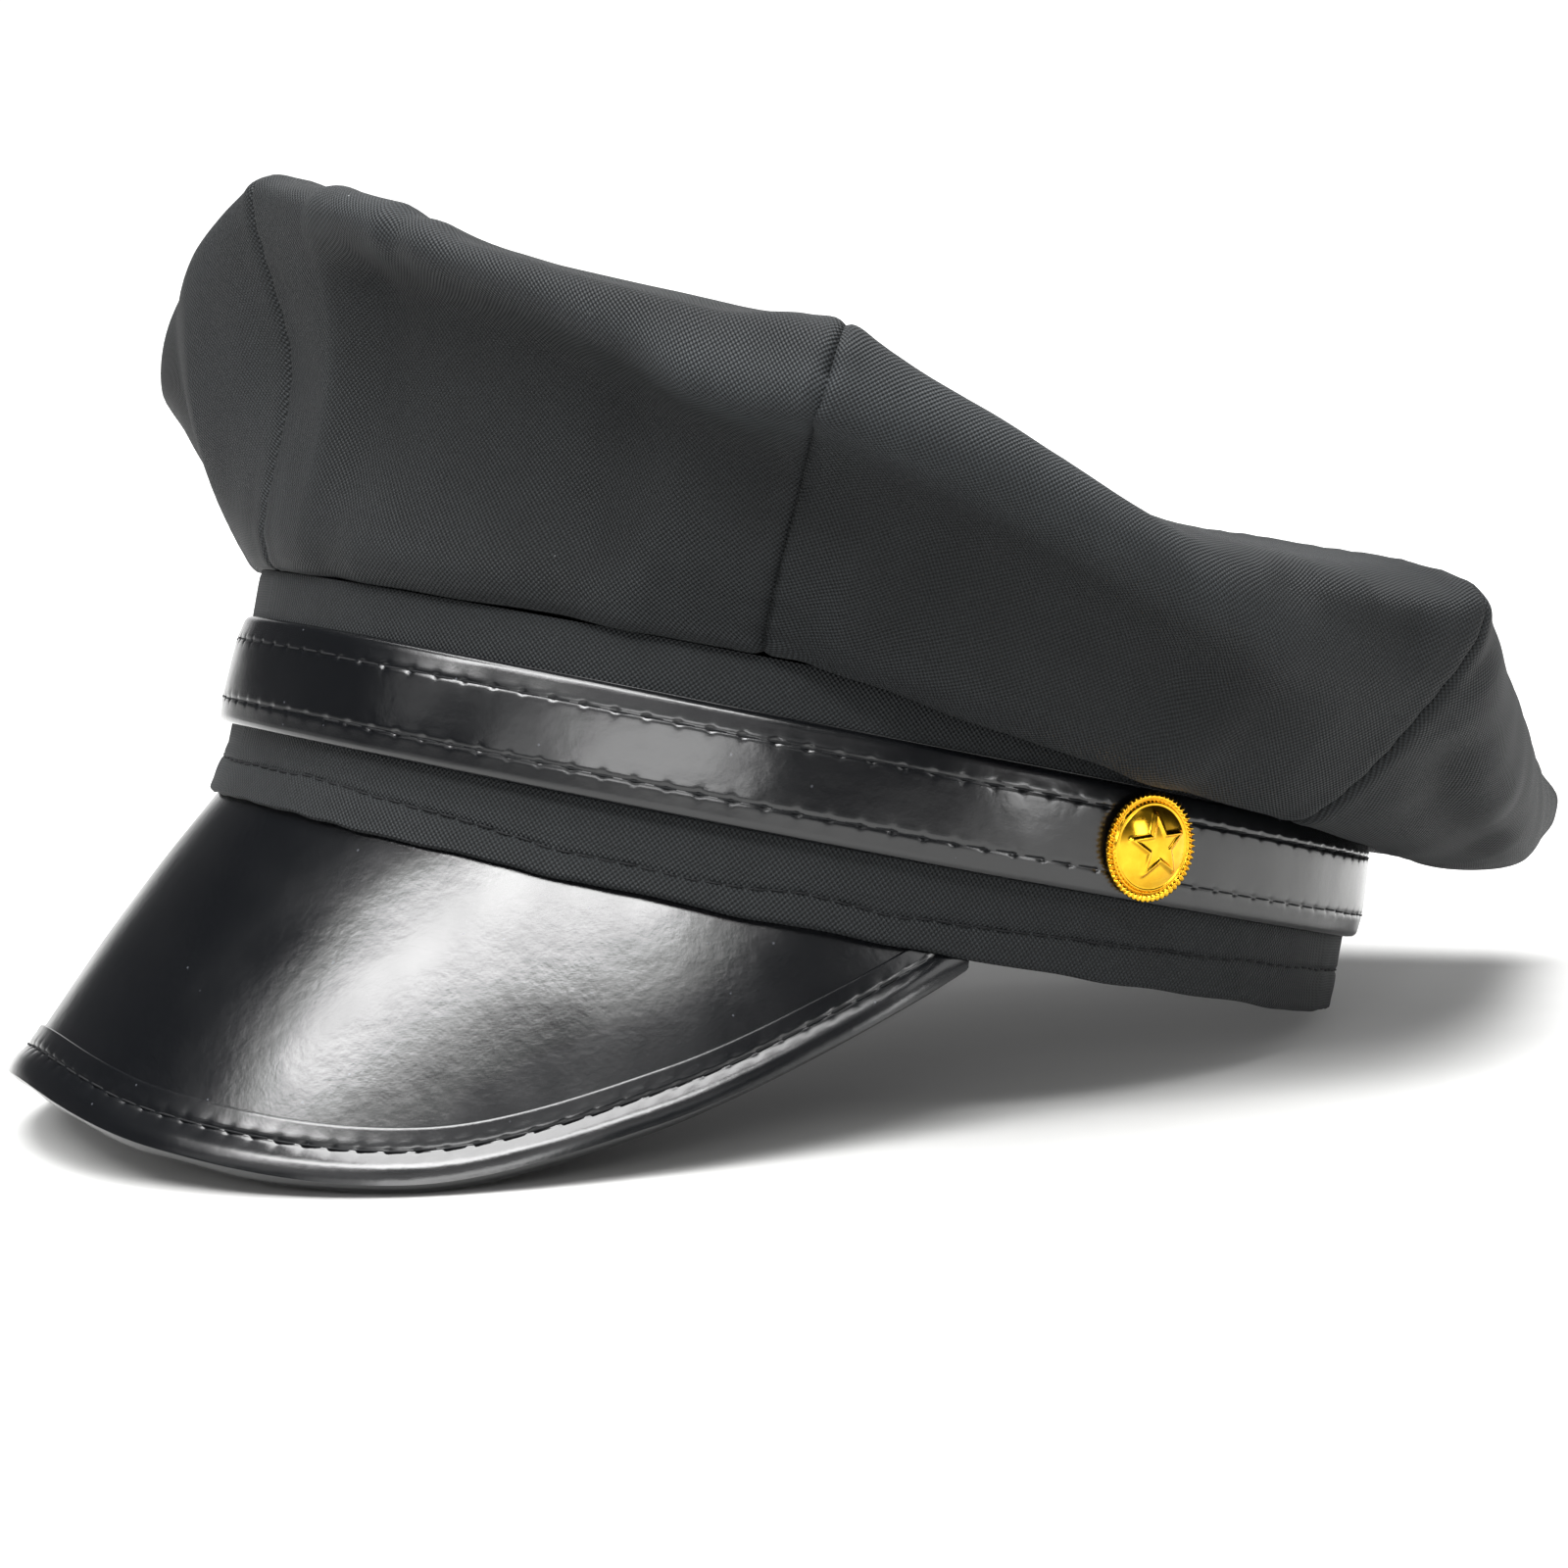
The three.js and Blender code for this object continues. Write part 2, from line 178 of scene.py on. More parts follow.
def woven_polyester():
    material, tree = new_material("woven_black_polyester")
    grain = add(tree, "ShaderNodeUVMap", {"uv_map": "cloth_mm"}).outputs[0]
    axes = add(tree, "ShaderNodeSeparateXYZ", {}, {"Vector": grain})
    waves = []
    for axis in ("X", "Y"):
        turns = add(tree, "ShaderNodeMath", {"operation": "MULTIPLY", 1: math.pi / THREAD},
                    {0: axes.outputs[axis]})
        waves.append(add(tree, "ShaderNodeMath", {"operation": "SINE"}, {0: turns.outputs[0]}))
    weave = add(tree, "ShaderNodeMath", {"operation": "MULTIPLY"},
                {0: waves[0].outputs[0], 1: waves[1].outputs[0]})
    slub = add(tree, "ShaderNodeTexNoise",
               {"Scale": 1 / SLUB, "Detail": 4.0, "Roughness": 0.6}, {"Vector": grain})
    # Painted highlight on the thread tops and painted shade in the holes between them.
    tops = add(tree, "ShaderNodeMapRange", {"From Min": -0.7, "From Max": 0.9},
               {"Value": weave.outputs[0]})
    painted_weave_light = add(tree, "ShaderNodeMix",
               {"data_type": "RGBA", MIX_A: linear("#050607"), MIX_B: linear("#292c2e")},
               {"Factor": tops.outputs[0]})
    uneven = add(tree, "ShaderNodeMix",
                 {"data_type": "RGBA", "blend_type": "MULTIPLY", "Factor": 0.45},
                 {MIX_A: painted_weave_light.outputs[MIXED], MIX_B: slub.outputs["Fac"]})
    # Painted highlight on fold crests and painted shade in fold hollows, read from how far the
    # folds lift the cloth.
    fold_light_attribute = add(tree, "ShaderNodeAttribute", {"attribute_name": "painted_fold_light"})
    fold_light_scale = add(tree, "ShaderNodeMapRange", {"From Min": -1.0, "To Min": 0.35, "To Max": 1.65},
              {"Value": fold_light_attribute.outputs["Fac"]})
    painted_fold_light = add(tree, "ShaderNodeVectorMath", {"operation": "SCALE"},
                 {0: uneven.outputs[MIXED], "Scale": fold_light_scale.outputs[0]})
    lint = add(tree, "ShaderNodeTexVoronoi", {"Scale": 0.11}, {"Vector": grain})
    speck = add(tree, "ShaderNodeMapRange", {"From Min": 0.022, "From Max": 0.012},
                {"Value": lint.outputs["Distance"]})
    linted = add(tree, "ShaderNodeMix", {"data_type": "RGBA", MIX_B: linear("#8d8f90")},
                 {"Factor": speck.outputs[0], MIX_A: painted_fold_light.outputs[0]})
    bump = add(tree, "ShaderNodeBump", {"Strength": 0.8, "Distance": 0.00016},
               {"Height": weave.outputs[0]})
    cloth = add(tree, "ShaderNodeBsdfPrincipled",
                {"Roughness": 0.6, "IOR": 1.54, "Specular IOR Level": 0.16,
                 "Sheen Weight": 0.02, "Sheen Roughness": 0.35},
                {"Base Color": linted.outputs[MIXED], "Normal": bump.outputs[0]})
    show(tree, cloth)
    return material


cloth_black = woven_polyester()
print("made", cloth_black.name)

# %% [markdown]
# Patent is a black fabric-backed vinyl with a clear glossy skin, calendered and then cut and
# folded. The skin gives it sharp, bright reflections over a deep black, and the fabric under
# it shows through as a slight orange peel. One even black with no bump would look like glass,
# so a fine noise and a long slow one break the reflections as the real sheet does.

# %% Black patent vinyl
def patent_vinyl(name, peel, slow, gloss):
    material, tree = new_material(name)
    place = add(tree, "ShaderNodeTexCoord").outputs["Object"]
    fine = add(tree, "ShaderNodeTexNoise", {"Scale": 520.0, "Detail": 4.0, "Roughness": 0.6},
               {"Vector": place})
    long_wave = add(tree, "ShaderNodeTexNoise", {"Scale": 70.0}, {"Vector": place})
    skin = add(tree, "ShaderNodeBump", {"Strength": peel, "Distance": 0.0001},
               {"Height": fine.outputs["Fac"]})
    swell = add(tree, "ShaderNodeBump", {"Strength": slow, "Distance": 0.0006},
                {"Height": long_wave.outputs["Fac"], "Normal": skin.outputs[0]})
    dust = add(tree, "ShaderNodeTexVoronoi", {"Scale": 210.0}, {"Vector": place})
    grit = add(tree, "ShaderNodeMapRange", {"From Min": 0.05, "From Max": 0.03},
               {"Value": dust.outputs["Distance"]})
    tone = add(tree, "ShaderNodeMix",
               {"data_type": "RGBA", MIX_A: linear("#08090b"), MIX_B: linear("#3a3c40")},
               {"Factor": grit.outputs[0]})
    haze = add(tree, "ShaderNodeMapRange", {"From Min": 0.3, "From Max": 0.75,
                                            "To Min": gloss, "To Max": gloss + 0.07},
               {"Value": long_wave.outputs["Fac"]})
    vinyl = add(tree, "ShaderNodeBsdfPrincipled", {"IOR": 1.57},
                {"Base Color": tone.outputs[MIXED], "Roughness": haze.outputs[0],
                 "Normal": swell.outputs[0]})
    show(tree, vinyl)
    return material


patent_sheet = patent_vinyl("black_patent_vinyl_sheet", 0.4, 0.22, 0.19)
patent_fold = patent_vinyl("black_patent_vinyl_folded", 0.3, 0.26, 0.18)
print("made", patent_sheet.name, "and", patent_fold.name)

# %% [markdown]
# The thread is spun black polyester, matt beside the patent, and the buttons are brass,
# stamped, gilt and left bright. Thread gets a fine twist across its length, so that it
# doesn't read as wire. Gilt brass keeps the metal's own colour in its reflections, so it is a
# full metal with a yellow base, a low roughness, and a trace of uneven plating.

# %% Spun thread and gilt brass
def spun_thread():
    material, tree = new_material("spun_black_thread")
    place = add(tree, "ShaderNodeTexCoord").outputs["Object"]
    twist = add(tree, "ShaderNodeTexNoise", {"Scale": 2500.0}, {"Vector": place})
    tone = add(tree, "ShaderNodeValToRGB", {}, {"Fac": twist.outputs["Fac"]})
    tone.color_ramp.elements[0].color = linear("#060607")
    tone.color_ramp.elements[1].color = linear("#1c1d1f")
    bump = add(tree, "ShaderNodeBump", {"Strength": 0.5, "Distance": 0.0001},
               {"Height": twist.outputs["Fac"]})
    thread = add(tree, "ShaderNodeBsdfPrincipled",
                 {"Roughness": 0.7, "IOR": 1.54, "Specular IOR Level": 0.15},
                 {"Base Color": tone.outputs[0], "Normal": bump.outputs[0]})
    show(tree, thread)
    return material


def gilt_brass():
    material, tree = new_material("gilt_stamped_brass")
    place = add(tree, "ShaderNodeTexCoord").outputs["Object"]
    plating = add(tree, "ShaderNodeTexNoise", {"Scale": 600.0, "Detail": 3.0},
                  {"Vector": place})
    tone = add(tree, "ShaderNodeValToRGB", {}, {"Fac": plating.outputs["Fac"]})
    tone.color_ramp.elements[0].color = linear("#cc9218")
    tone.color_ramp.elements[1].color = linear("#f4c236")
    gloss = add(tree, "ShaderNodeMapRange", {"To Min": 0.08, "To Max": 0.2},
                {"Value": plating.outputs["Fac"]})
    bump = add(tree, "ShaderNodeBump", {"Strength": 0.12, "Distance": 0.00005},
               {"Height": plating.outputs["Fac"]})
    gilt = add(tree, "ShaderNodeBsdfPrincipled", {"Metallic": 1.0},
               {"Base Color": tone.outputs[0], "Roughness": gloss.outputs[0],
                "Normal": bump.outputs[0]})
    show(tree, gilt)
    return material


thread_black = spun_thread()
brass = gilt_brass()
print("made", thread_black.name, "and", brass.name)

# %% [markdown]
# Most of the cap is sheet: the gores, the band, the strap, the visor and its binding. Each is
# made as a row of closed loops, up one face and down the other, so every sheet has a real
# thickness and no open edge. Extruding a flat pattern and bending it would also work, but
# loops let a fold, a groove or a puff be written where it lies, in millimetres.

# %% Lofted sheets
def loft(name, loops, uv, material, ring=False, crisp=50):
    """Closed mesh from loops (stations, points, 3) in the band's frame. In a ring the last
    station joins the first, and uv has one station more. Otherwise the ends are closed."""
    count, around = loops.shape[:2]
    spans = count if ring else count - 1
    i, j = np.meshgrid(np.arange(spans), np.arange(around), indexing="ij")
    after, above = i + 1, (j + 1) % around
    corners = [(i, j), (after, j), (after, above), (i, above)]
    faces = np.stack([(a % count) * around + b for a, b in corners], -1).reshape(-1, 4)
    marks = np.stack([uv[a, b] for a, b in corners], 2).reshape(-1, 2)
    if not ring:
        k = np.arange(around // 2 - 1)
        ladder = np.stack([k, k + 1, around - 2 - k, around - 1 - k], -1)
        last = spans * around
        ends = np.concatenate([ladder, last + ladder[:, ::-1]])
        faces = np.concatenate([faces, ends])
        marks = np.concatenate([marks, uv.reshape(-1, 2)[ends.ravel()]])
    mesh = bpy.data.meshes.new(name)
    mesh.vertices.add(count * around)
    mesh.vertices.foreach_set("co", on_table(loops).ravel())
    mesh.loops.add(faces.size)
    mesh.loops.foreach_set("vertex_index", faces.ravel())
    mesh.polygons.add(len(faces))
    mesh.polygons.foreach_set("loop_start", np.arange(len(faces)) * 4)
    mesh.uv_layers.new(name="cloth_mm").data.foreach_set("uv", marks.ravel())
    mesh.materials.append(material)
    mesh.update(calc_edges=True)
    mesh.validate()
    mesh.polygons.foreach_set("use_smooth", np.ones(len(faces), bool))
    mesh.set_sharp_from_angle(angle=math.radians(crisp))
    print(name, "has", len(faces), "faces")
    return link(name, mesh)


def finish_piece(piece, slot, *nodes):
    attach(piece, "root")
    if nodes:
        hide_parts(*nodes)
    return piece


# %% [markdown]
# The band is an ellipse at the hem. Points beside it are given by an angle round the head,
# an offset outward and a height. Stitches and weave need true lengths instead of angles, so
# one table of arc length against angle turns one into the other.

# %% Round the band
HALF_LENGTH = 101.0
HALF_WIDTH = 83.2
BAND_HEIGHT = 40.2


def beside(t, offset, z):
    n = unit(np.stack([np.cos(t) / HALF_LENGTH, np.sin(t) / HALF_WIDTH], -1))
    x = HALF_LENGTH * np.cos(t) + offset * n[..., 0]
    y = HALF_WIDTH * np.sin(t) + offset * n[..., 1]
    return np.stack([x, y, z + 0 * x], -1)


def outward(t):
    return unit(beside(t, 1.0, 0.0) - beside(t, 0.0, 0.0))


def smooth(x):
    x = np.clip(x, 0, 1)
    return x * x * (3 - 2 * x)


def lengths_along(points, axis=0):
    """Length in mm from the first point to each other one, along one axis of a grid."""
    steps = np.linalg.norm(np.diff(points, axis=axis), axis=-1)
    return np.insert(np.cumsum(steps, axis), 0, 0, axis)


def pairs(along, across):
    """Grid of every value of one list with every value of the other."""
    return np.stack(np.meshgrid(along, across, indexing="ij"), -1)


FINE_T = np.linspace(0, 2 * math.pi, 4001)
FINE_S = lengths_along(beside(FINE_T, 0.0, 0.0))
GIRTH = FINE_S[-1]


def angle_at(length):
    return np.interp(length % GIRTH, FINE_S, FINE_T)


def hem_flare(t):
    """How far the hem stands out in front, where the visor's tuck pushes it."""
    return 1.8 * smooth(np.maximum(0, np.cos(t)))


def hem_height(t):
    return 2.4 * np.maximum(0, np.cos(t)) ** 2


def ripple(points, length, seed):
    """Gentle uneven waves from -1 to 1, of about the given length in mm."""
    rng = np.random.RandomState(seed)
    total = 0
    for _ in range(7):
        way = unit(rng.normal(size=3)) * rng.uniform(0.6, 1.4) * 2 * math.pi / length
        total = total + np.sin(points @ way + rng.uniform(0, 2 * math.pi))
    return total / 3.5


print("the band's outline is", round(GIRTH), "mm round")

# %% [markdown]
# Sewing shows as rows of short raised threads that dive into needle holes. A bump pattern
# would lie flat against a pale reflection, so each stitch is a small capsule of its own: it
# rises out of one hole and sinks into the next. A whole row is one mesh.

# %% Rows of stitches
STITCH_SIDES = 6


def tube_faces(rings, around, start=0):
    """Side faces of a tube made of rings of points, and the two faces that close its ends."""
    low, j = start + around * np.arange(rings - 1)[:, None], np.arange(around)
    k = (j + 1) % around
    sides = np.stack([low + j, low + k, low + around + k, low + around + j], -1)
    first = list(range(start, start + around))
    last = [around * (rings - 1) + corner for corner in first]
    return sides.reshape(-1, 4).tolist(), [first[::-1], last]


def smooth_mesh(name, points, faces, material):
    mesh = bpy.data.meshes.new(name)
    mesh.from_pydata(points, [], faces)
    mesh.materials.append(material)
    mesh.polygons.foreach_set("use_smooth", np.ones(len(faces), bool))
    return link(name, mesh)


def stitch_row(name, path, normals, pitch, radius, seed):
    """Stitches along path (points, 3), standing on a surface with those normals."""
    rng = np.random.RandomState(seed)
    steps = lengths_along(path)
    count = int(round(steps[-1] / pitch))
    pitch = steps[-1] / count
    shares = np.array([0.07, 0.16, 0.34, 0.5, 0.66, 0.84, 0.93])
    thick = np.array([0.5, 0.9, 1, 1, 1, 0.9, 0.5]) * radius
    lift = np.array([-1.6, -0.5, 0.1, 0.2, 0.1, -0.5, -1.6]) * radius
    turns = np.arange(STITCH_SIDES) * 2 * math.pi / STITCH_SIDES
    points, faces = [], []
    for k in range(count):
        along = (k + shares) * pitch
        spine = np.stack([np.interp(along, steps, path[:, c]) for c in range(3)], -1)
        up = unit(np.stack([np.interp(along, steps, normals[:, c]) for c in range(3)], -1))
        ahead = unit(np.gradient(spine, axis=0))
        across = unit(np.cross(up, ahead))
        wander = rng.uniform(-0.12, 0.12)
        spine = spine + up * lift[:, None] + across * (wander + 0.3 * wander * shares[:, None])
        ring = (np.cos(turns)[None, :, None] * across[:, None]
                + np.sin(turns)[None, :, None] * up[:, None])
        sides, ends = tube_faces(len(shares), STITCH_SIDES, len(points) * STITCH_SIDES)
        faces += sides + ends
        points.extend(spine[:, None] + thick[:, None, None] * ring)
    points = on_table(np.concatenate(points)).tolist()
    print(name, "has", count, "stitches, each", round(pitch, 2), "mm")
    return finish_piece(smooth_mesh(name, points, faces, thread_black), "black_cloth")


# %% [markdown]
# The head band is a doubled strip of the suiting. Its top is turned in where the crown is
# sewn to it, and its hem is turned up and stitched by machine, a few millimetres above the
# edge, on a line that wanders. The hem's edge is slightly wavy, because the cloth there is
# pulled over the visor's tuck. The stitches sink into a thin groove and pull small puckers
# after them. The section is written once as offset and height, and then bent round the head.

# %% Head band
BAND_STEPS = 1100
BAND_WALL, HEM_WALL, HEM_TOP = 1.5, 2.1, 9.2  # the turned-up hem is one layer thicker
FLARE_TOP, WAVE_TOP = 10.0, 16.0  # mm up the band, where the hem's flare and its waves end
HEM_PITCH = 3.4
STITCH_RISE = np.array([  # degrees from the front, mm above the hem's edge
    [0, 7.0], [20, 7.4], [35, 6.2], [50, 4.6], [62, 4.2], [72, 5.4], [80, 4.6], [92, 5.6],
    [105, 6.3], [118, 6.8], [135, 7.4], [160, 7.0], [180, 7.0],
])


def rise_of_stitches(t):
    angle = np.degrees(np.abs((t + math.pi) % (2 * math.pi) - math.pi))
    return np.interp(angle, *STITCH_RISE.T)


def on_band(t, out, z):
    """Point out mm off the band at a height z, moved by the hem's flare and its waves."""
    seat = beside(t, 0.0, 0.0)
    wave = hem_height(t) + 0.32 * ripple(seat, 26.0, 3) + 0.14 * ripple(seat, 9.0, 4)
    flare = hem_flare(t) * np.clip(1 - z / FLARE_TOP, 0, 1)
    return beside(t, flare + out, z + wave * np.clip(1 - z / WAVE_TOP, 0, 1))


def band_loops(t):
    seat = beside(t, 0.0, 0.0)
    rise_row = rise_of_stitches(t)
    puckers = ripple(seat, 7.0, 5)
    outer_z = [*np.linspace(0, 10, 21), *np.linspace(11, 38, 16), 39.3, 40.0, 40.4]
    loops = []
    for z in outer_z:
        edge = 0.7 * (1 - min(1.0, z / 0.7)) ** 2  # the hem's rolled edge
        groove = 0.38 * np.exp(-((z - rise_row) / 0.45) ** 2)
        puff = 0.12 * smooth(1 - np.abs(z - rise_row + 2.6) / 2.6)
        drag = 0.13 * puckers * np.exp(-((z - rise_row) / 3.0) ** 2)
        top = 0.35 * max(0.0, (z - 38.6) / 1.8) ** 2
        sag = 0.12 * ripple(seat + [0, 0, z], 34.0, 6)
        loops.append(on_band(t, puff + drag + sag - edge - groove - top, z))
    for z in (39.6, 30, 20, 9.6, 9.0, 6.0, 3.0, 0.6):
        loops.append(on_band(t, -HEM_WALL if z < HEM_TOP else -BAND_WALL, z))
    return np.stack(loops, 1)


band_s = np.arange(BAND_STEPS) / BAND_STEPS * GIRTH
band = band_loops(angle_at(band_s))
band_uv = pairs(np.r_[band_s, GIRTH], lengths_along(band[0]))
head_band = loft("head_band_cloth", band, band_uv, cloth_black, ring=True)
finish_piece(head_band, "black_cloth", "head_band")

hem_t = np.linspace(0, 2 * math.pi, 1500)
hem_path = on_band(hem_t, -0.12, rise_of_stitches(hem_t))
stitch_row("hem_stitches", hem_path, outward(hem_t), HEM_PITCH, 0.17, seed=2)

# %% [markdown]
# The patent strap is a strip of vinyl whose long edges are folded under and sewn down. Each
# border falls away a little from its stitches to its edge, so the two borders and the middle
# mirror three different parts of the room. The needle pulls the vinyl down at each hole, and
# those dimples give the rows their beaded highlights, so they are real shape here. Slow waves
# in the middle bend a long reflection.

# %% Patent strap
STRAP_WIDTH, STRAP_BASE = 18.3, 13.5
STRAP_BACK, STRAP_FACE = 0.35, 1.6  # mm off the band
STRAP_LEAN = 1.2  # mm that the lower border stands out beyond the upper one
BORDER_RISE = 0.62  # mm from a border's edge up to its stitches
STRAP_PITCH = GIRTH / round(GIRTH / 5.0)  # mm from hole to hole, a whole number of them round
ROW_INSET = 4.1
STRAP_STEPS = 1450


def needle(s, pitch):
    """Distance in mm to the nearest needle hole, and how high a stitch arches between two."""
    return (s + pitch / 2) % pitch - pitch / 2, np.abs(np.sin(math.pi * s / pitch))


def strap_base(t):
    return STRAP_BASE + 0.7 * np.maximum(0, np.cos(t)) ** 2


def strap_sway(t, y):
    """The strap's slow waves and its lean, at a height y above its lower edge."""
    seat = beside(t, 0.0, y)
    wave = 0.14 * ripple(seat, 46.0, 11) + 0.05 * ripple(seat, 15.0, 12)
    return wave + STRAP_LEAN * (0.5 - y / STRAP_WIDTH)


def strap_out(s, t, y):
    """How far the strap's face stands off the band at a height y above its lower edge."""
    from_edge = np.minimum(y, STRAP_WIDTH - y)
    round_off = 1.0 * (1 - np.sqrt(1 - (1 - np.clip(from_edge / 1.0, 0, 1)) ** 2))
    border = BORDER_RISE * np.minimum(1, from_edge / ROW_INSET)
    middle = 0.08 * smooth((from_edge - ROW_INSET) / 3.2)
    groove = 0.13 * np.exp(-((from_edge - ROW_INSET) / 0.34) ** 2)
    hole, arch = needle(s, STRAP_PITCH)
    dimple = 0.2 * np.exp(-(hole / 0.5) ** 2 - ((from_edge - ROW_INSET) / 0.55) ** 2)
    pillow = 0.03 * arch * np.exp(-((np.abs(from_edge - ROW_INSET) - 0.7) / 0.7) ** 2)
    shape = border + middle - groove - dimple + pillow - round_off
    return STRAP_FACE + shape + strap_sway(t, y)


strap_s = np.arange(STRAP_STEPS) / STRAP_STEPS * GIRTH
strap_t = angle_at(strap_s)
border_rows = np.array([0, 0.12, 0.3, 0.6, 1.0, 1.6, 2.3, 2.9, 3.3, 3.6, 3.85, 4.1, 4.35, 4.6,
                        4.9, 5.4, 6.1, 7.0, 8.0])
strap_y = np.r_[border_rows, STRAP_WIDTH / 2, STRAP_WIDTH - border_rows[::-1]]
back_y = strap_y[::-3]
strap_face = [strap_out(strap_s, strap_t, y) for y in strap_y] + [STRAP_BACK] * len(back_y)
strap_rows = np.r_[strap_y, back_y]
strap_loops = np.stack([beside(strap_t, out, strap_base(strap_t) + y)
                        for out, y in zip(strap_face, strap_rows)], 1)
strap_uv = pairs(np.r_[strap_s, GIRTH], strap_rows)
strap = loft("patent_strap_sewn", strap_loops, strap_uv, patent_fold, ring=True)
finish_piece(strap, "patent_strap", "patent_strap")

row_t = np.interp(np.linspace(0, GIRTH, 3000), FINE_S, FINE_T)
for label, y in (("lower", ROW_INSET), ("upper", STRAP_WIDTH - ROW_INSET)):
    off = STRAP_FACE + BORDER_RISE - 0.09 + strap_sway(row_t, y)
    path = beside(row_t, off, strap_base(row_t) + y)
    stitch_row(f"strap_stitches_{label}", path, outward(row_t), STRAP_PITCH, 0.16, seed=3)

# %% [markdown]
# The visor is a stiff board covered with patent vinyl on top. It is sewn inside the hem and
# slopes steeply, steeper at its ends than at the front. One short table gives its width and
# slope from the front to its end, and a smooth curve through the table keeps its reflection
# unbroken. It is cambered a little from hem to edge, because a flat sheet would mirror the
# softbox as a blot. Slow waves of a tenth of a millimetre stop it looking like turned metal.

# %% Visor
VISOR_REACH, VISOR_SHEET, VISOR_CAMBER = 59.5, 1.8, 0.068
VISOR_END = math.radians(88)
BOARD_SHORT = 1.2  # mm that the board stops short of the binding's edge
VISOR_AT = np.array([0, 0.25, 0.5, 0.7, 0.85, 1])  # share of a quarter turn from the front
VISOR_WIDTH = np.array([0.975, 1, 0.905, 0.605, 0.31, 0])
VISOR_SLOPE = np.array([63.8, 66.6, 68.8, 70.6, 71.6, 72.4])


def through(values, s):
    """Smooth curve through one column of the visor's table, level at the front."""
    slopes = np.zeros(len(values))
    for k in range(1, len(values)):
        after = min(k + 1, len(values) - 1)
        slopes[k] = (values[after] - values[k - 1]) / (VISOR_AT[after] - VISOR_AT[k - 1])
    i = np.clip(np.searchsorted(VISOR_AT, s, side="right") - 1, 0, len(values) - 2)
    span = VISOR_AT[i + 1] - VISOR_AT[i]
    u = (s - VISOR_AT[i]) / span
    bend = (1 - u) ** 2 * u * slopes[i] - (1 - u) * u * u * slopes[i + 1]
    return values[i] + (values[i + 1] - values[i]) * smooth(u) + bend * span


def visor_width(t):
    share = np.minimum(1, np.abs(t) / (math.pi / 2))
    return VISOR_REACH * np.maximum(0, through(VISOR_WIDTH, share))


def on_visor(t, d, deep):
    """Point on the visor: d mm down its slope from the hem, deep mm under its upper face."""
    share = np.minimum(1, np.abs(t) / (math.pi / 2))
    slope = np.radians(through(VISOR_SLOPE, share))
    start = hem_flare(t) - 1.7
    deep = deep - VISOR_CAMBER * d * (1 - np.minimum(1, d / np.maximum(visor_width(t), 0.5)))
    out = start + d * np.cos(slope) - deep * np.sin(slope)
    return beside(t, out, hem_height(t) - d * np.sin(slope) - deep * np.cos(slope))


visor_t = np.linspace(-1, 1, 361) * VISOR_END
board_width = np.maximum(0.2, visor_width(visor_t) - BOARD_SHORT)
upper, lower = [], []
for share in np.linspace(1, 0, 56):
    d = board_width * share
    seat = on_visor(visor_t, d, 0.0)
    waves = 0.1 * ripple(seat, 55.0, 21) + 0.03 * ripple(seat, 17.0, 22)
    upper.append(on_visor(visor_t, d, -waves))
for share in np.linspace(0, 1, 30):
    lower.append(on_visor(visor_t, board_width * share, VISOR_SHEET))
tuck_z = hem_height(visor_t) + 6
tuck = [beside(visor_t, -2.2, tuck_z), beside(visor_t, -3.4, tuck_z)]
visor_loops = np.stack(upper + tuck + lower, 1)
visor = loft("visor_board", visor_loops, visor_loops[..., :2], patent_sheet, crisp=40)
finish_piece(visor, "patent_visor", "visor")

# %% [markdown]
# The binding is a strip of thin patent folded over the visor's edge and sewn through. On top
# its raw inner edge makes a fine step, and the stitches lie between that and the outer
# edge. Outside them the strip puffs into a roll that catches one long bright line, with small
# dents where the needle pulled it down. The section is given as points beside the board,
# and each is moved by the puff and the dents that belong to its place.

# %% Visor binding
BINDING_LEAF, BINDING_ROW = 10.0, 6.0  # mm in from the edge
BINDING_END = 0.985  # share of a quarter turn
EDGE_RADIUS, UNDERSIDE = 0.75, 1.15  # mm of the outer edge's round and of the lower leaf
edge_t = np.linspace(-1, 1, 861) * math.pi / 2 * BINDING_END
edge_line = on_visor(edge_t, visor_width(edge_t), 0.0)
edge_s = lengths_along(edge_line)
BINDING_PITCH = edge_s[-1] / round(edge_s[-1] / 4.6)


def binding_lift(s, seat, inset):
    """How far the binding's face stands off the board, at inset mm from its outer edge."""
    leaf = 0.5 * smooth((BINDING_LEAF - inset) / 0.3)
    roll = 0.72 * smooth((BINDING_ROW - inset) / 3.2) * (1 - 0.3 * smooth((1.6 - inset) / 1.6))
    hole, arch = needle(s, BINDING_PITCH)
    dimple = 0.14 * np.exp(-(hole / 0.6) ** 2 - ((inset - BINDING_ROW) / 0.6) ** 2)
    groove = 0.16 * np.exp(-((inset - BINDING_ROW) / 0.42) ** 2)
    pillow = 0.06 * arch * np.exp(-((np.abs(inset - BINDING_ROW) - 0.9) / 0.8) ** 2)
    wave = 0.14 * ripple(seat, 30.0, 31) * smooth((BINDING_ROW - inset) / 2)
    return leaf + roll - groove - dimple + pillow + wave


insets = [0.35, 0.8, 1.4, 2.0, 2.7, 3.4, 4.1, 4.7, 5.1, 5.4, 5.7, 6.0, 6.3, 6.6, 7.0, 7.6, 8.4,
          9.2, 9.6, 9.75, 9.9, 10.0]
edge_width = visor_width(edge_t)
thin = 0.45 + 0.55 * smooth(edge_width / 12)  # the ends are pressed flat under the hem


def up_from_edge(inset):
    """Place down the visor's slope, inset mm from its edge; behind the hem it's squeezed."""
    d = edge_width - inset
    return np.where(d < 0, d / (1 + np.abs(d) / 4), d)


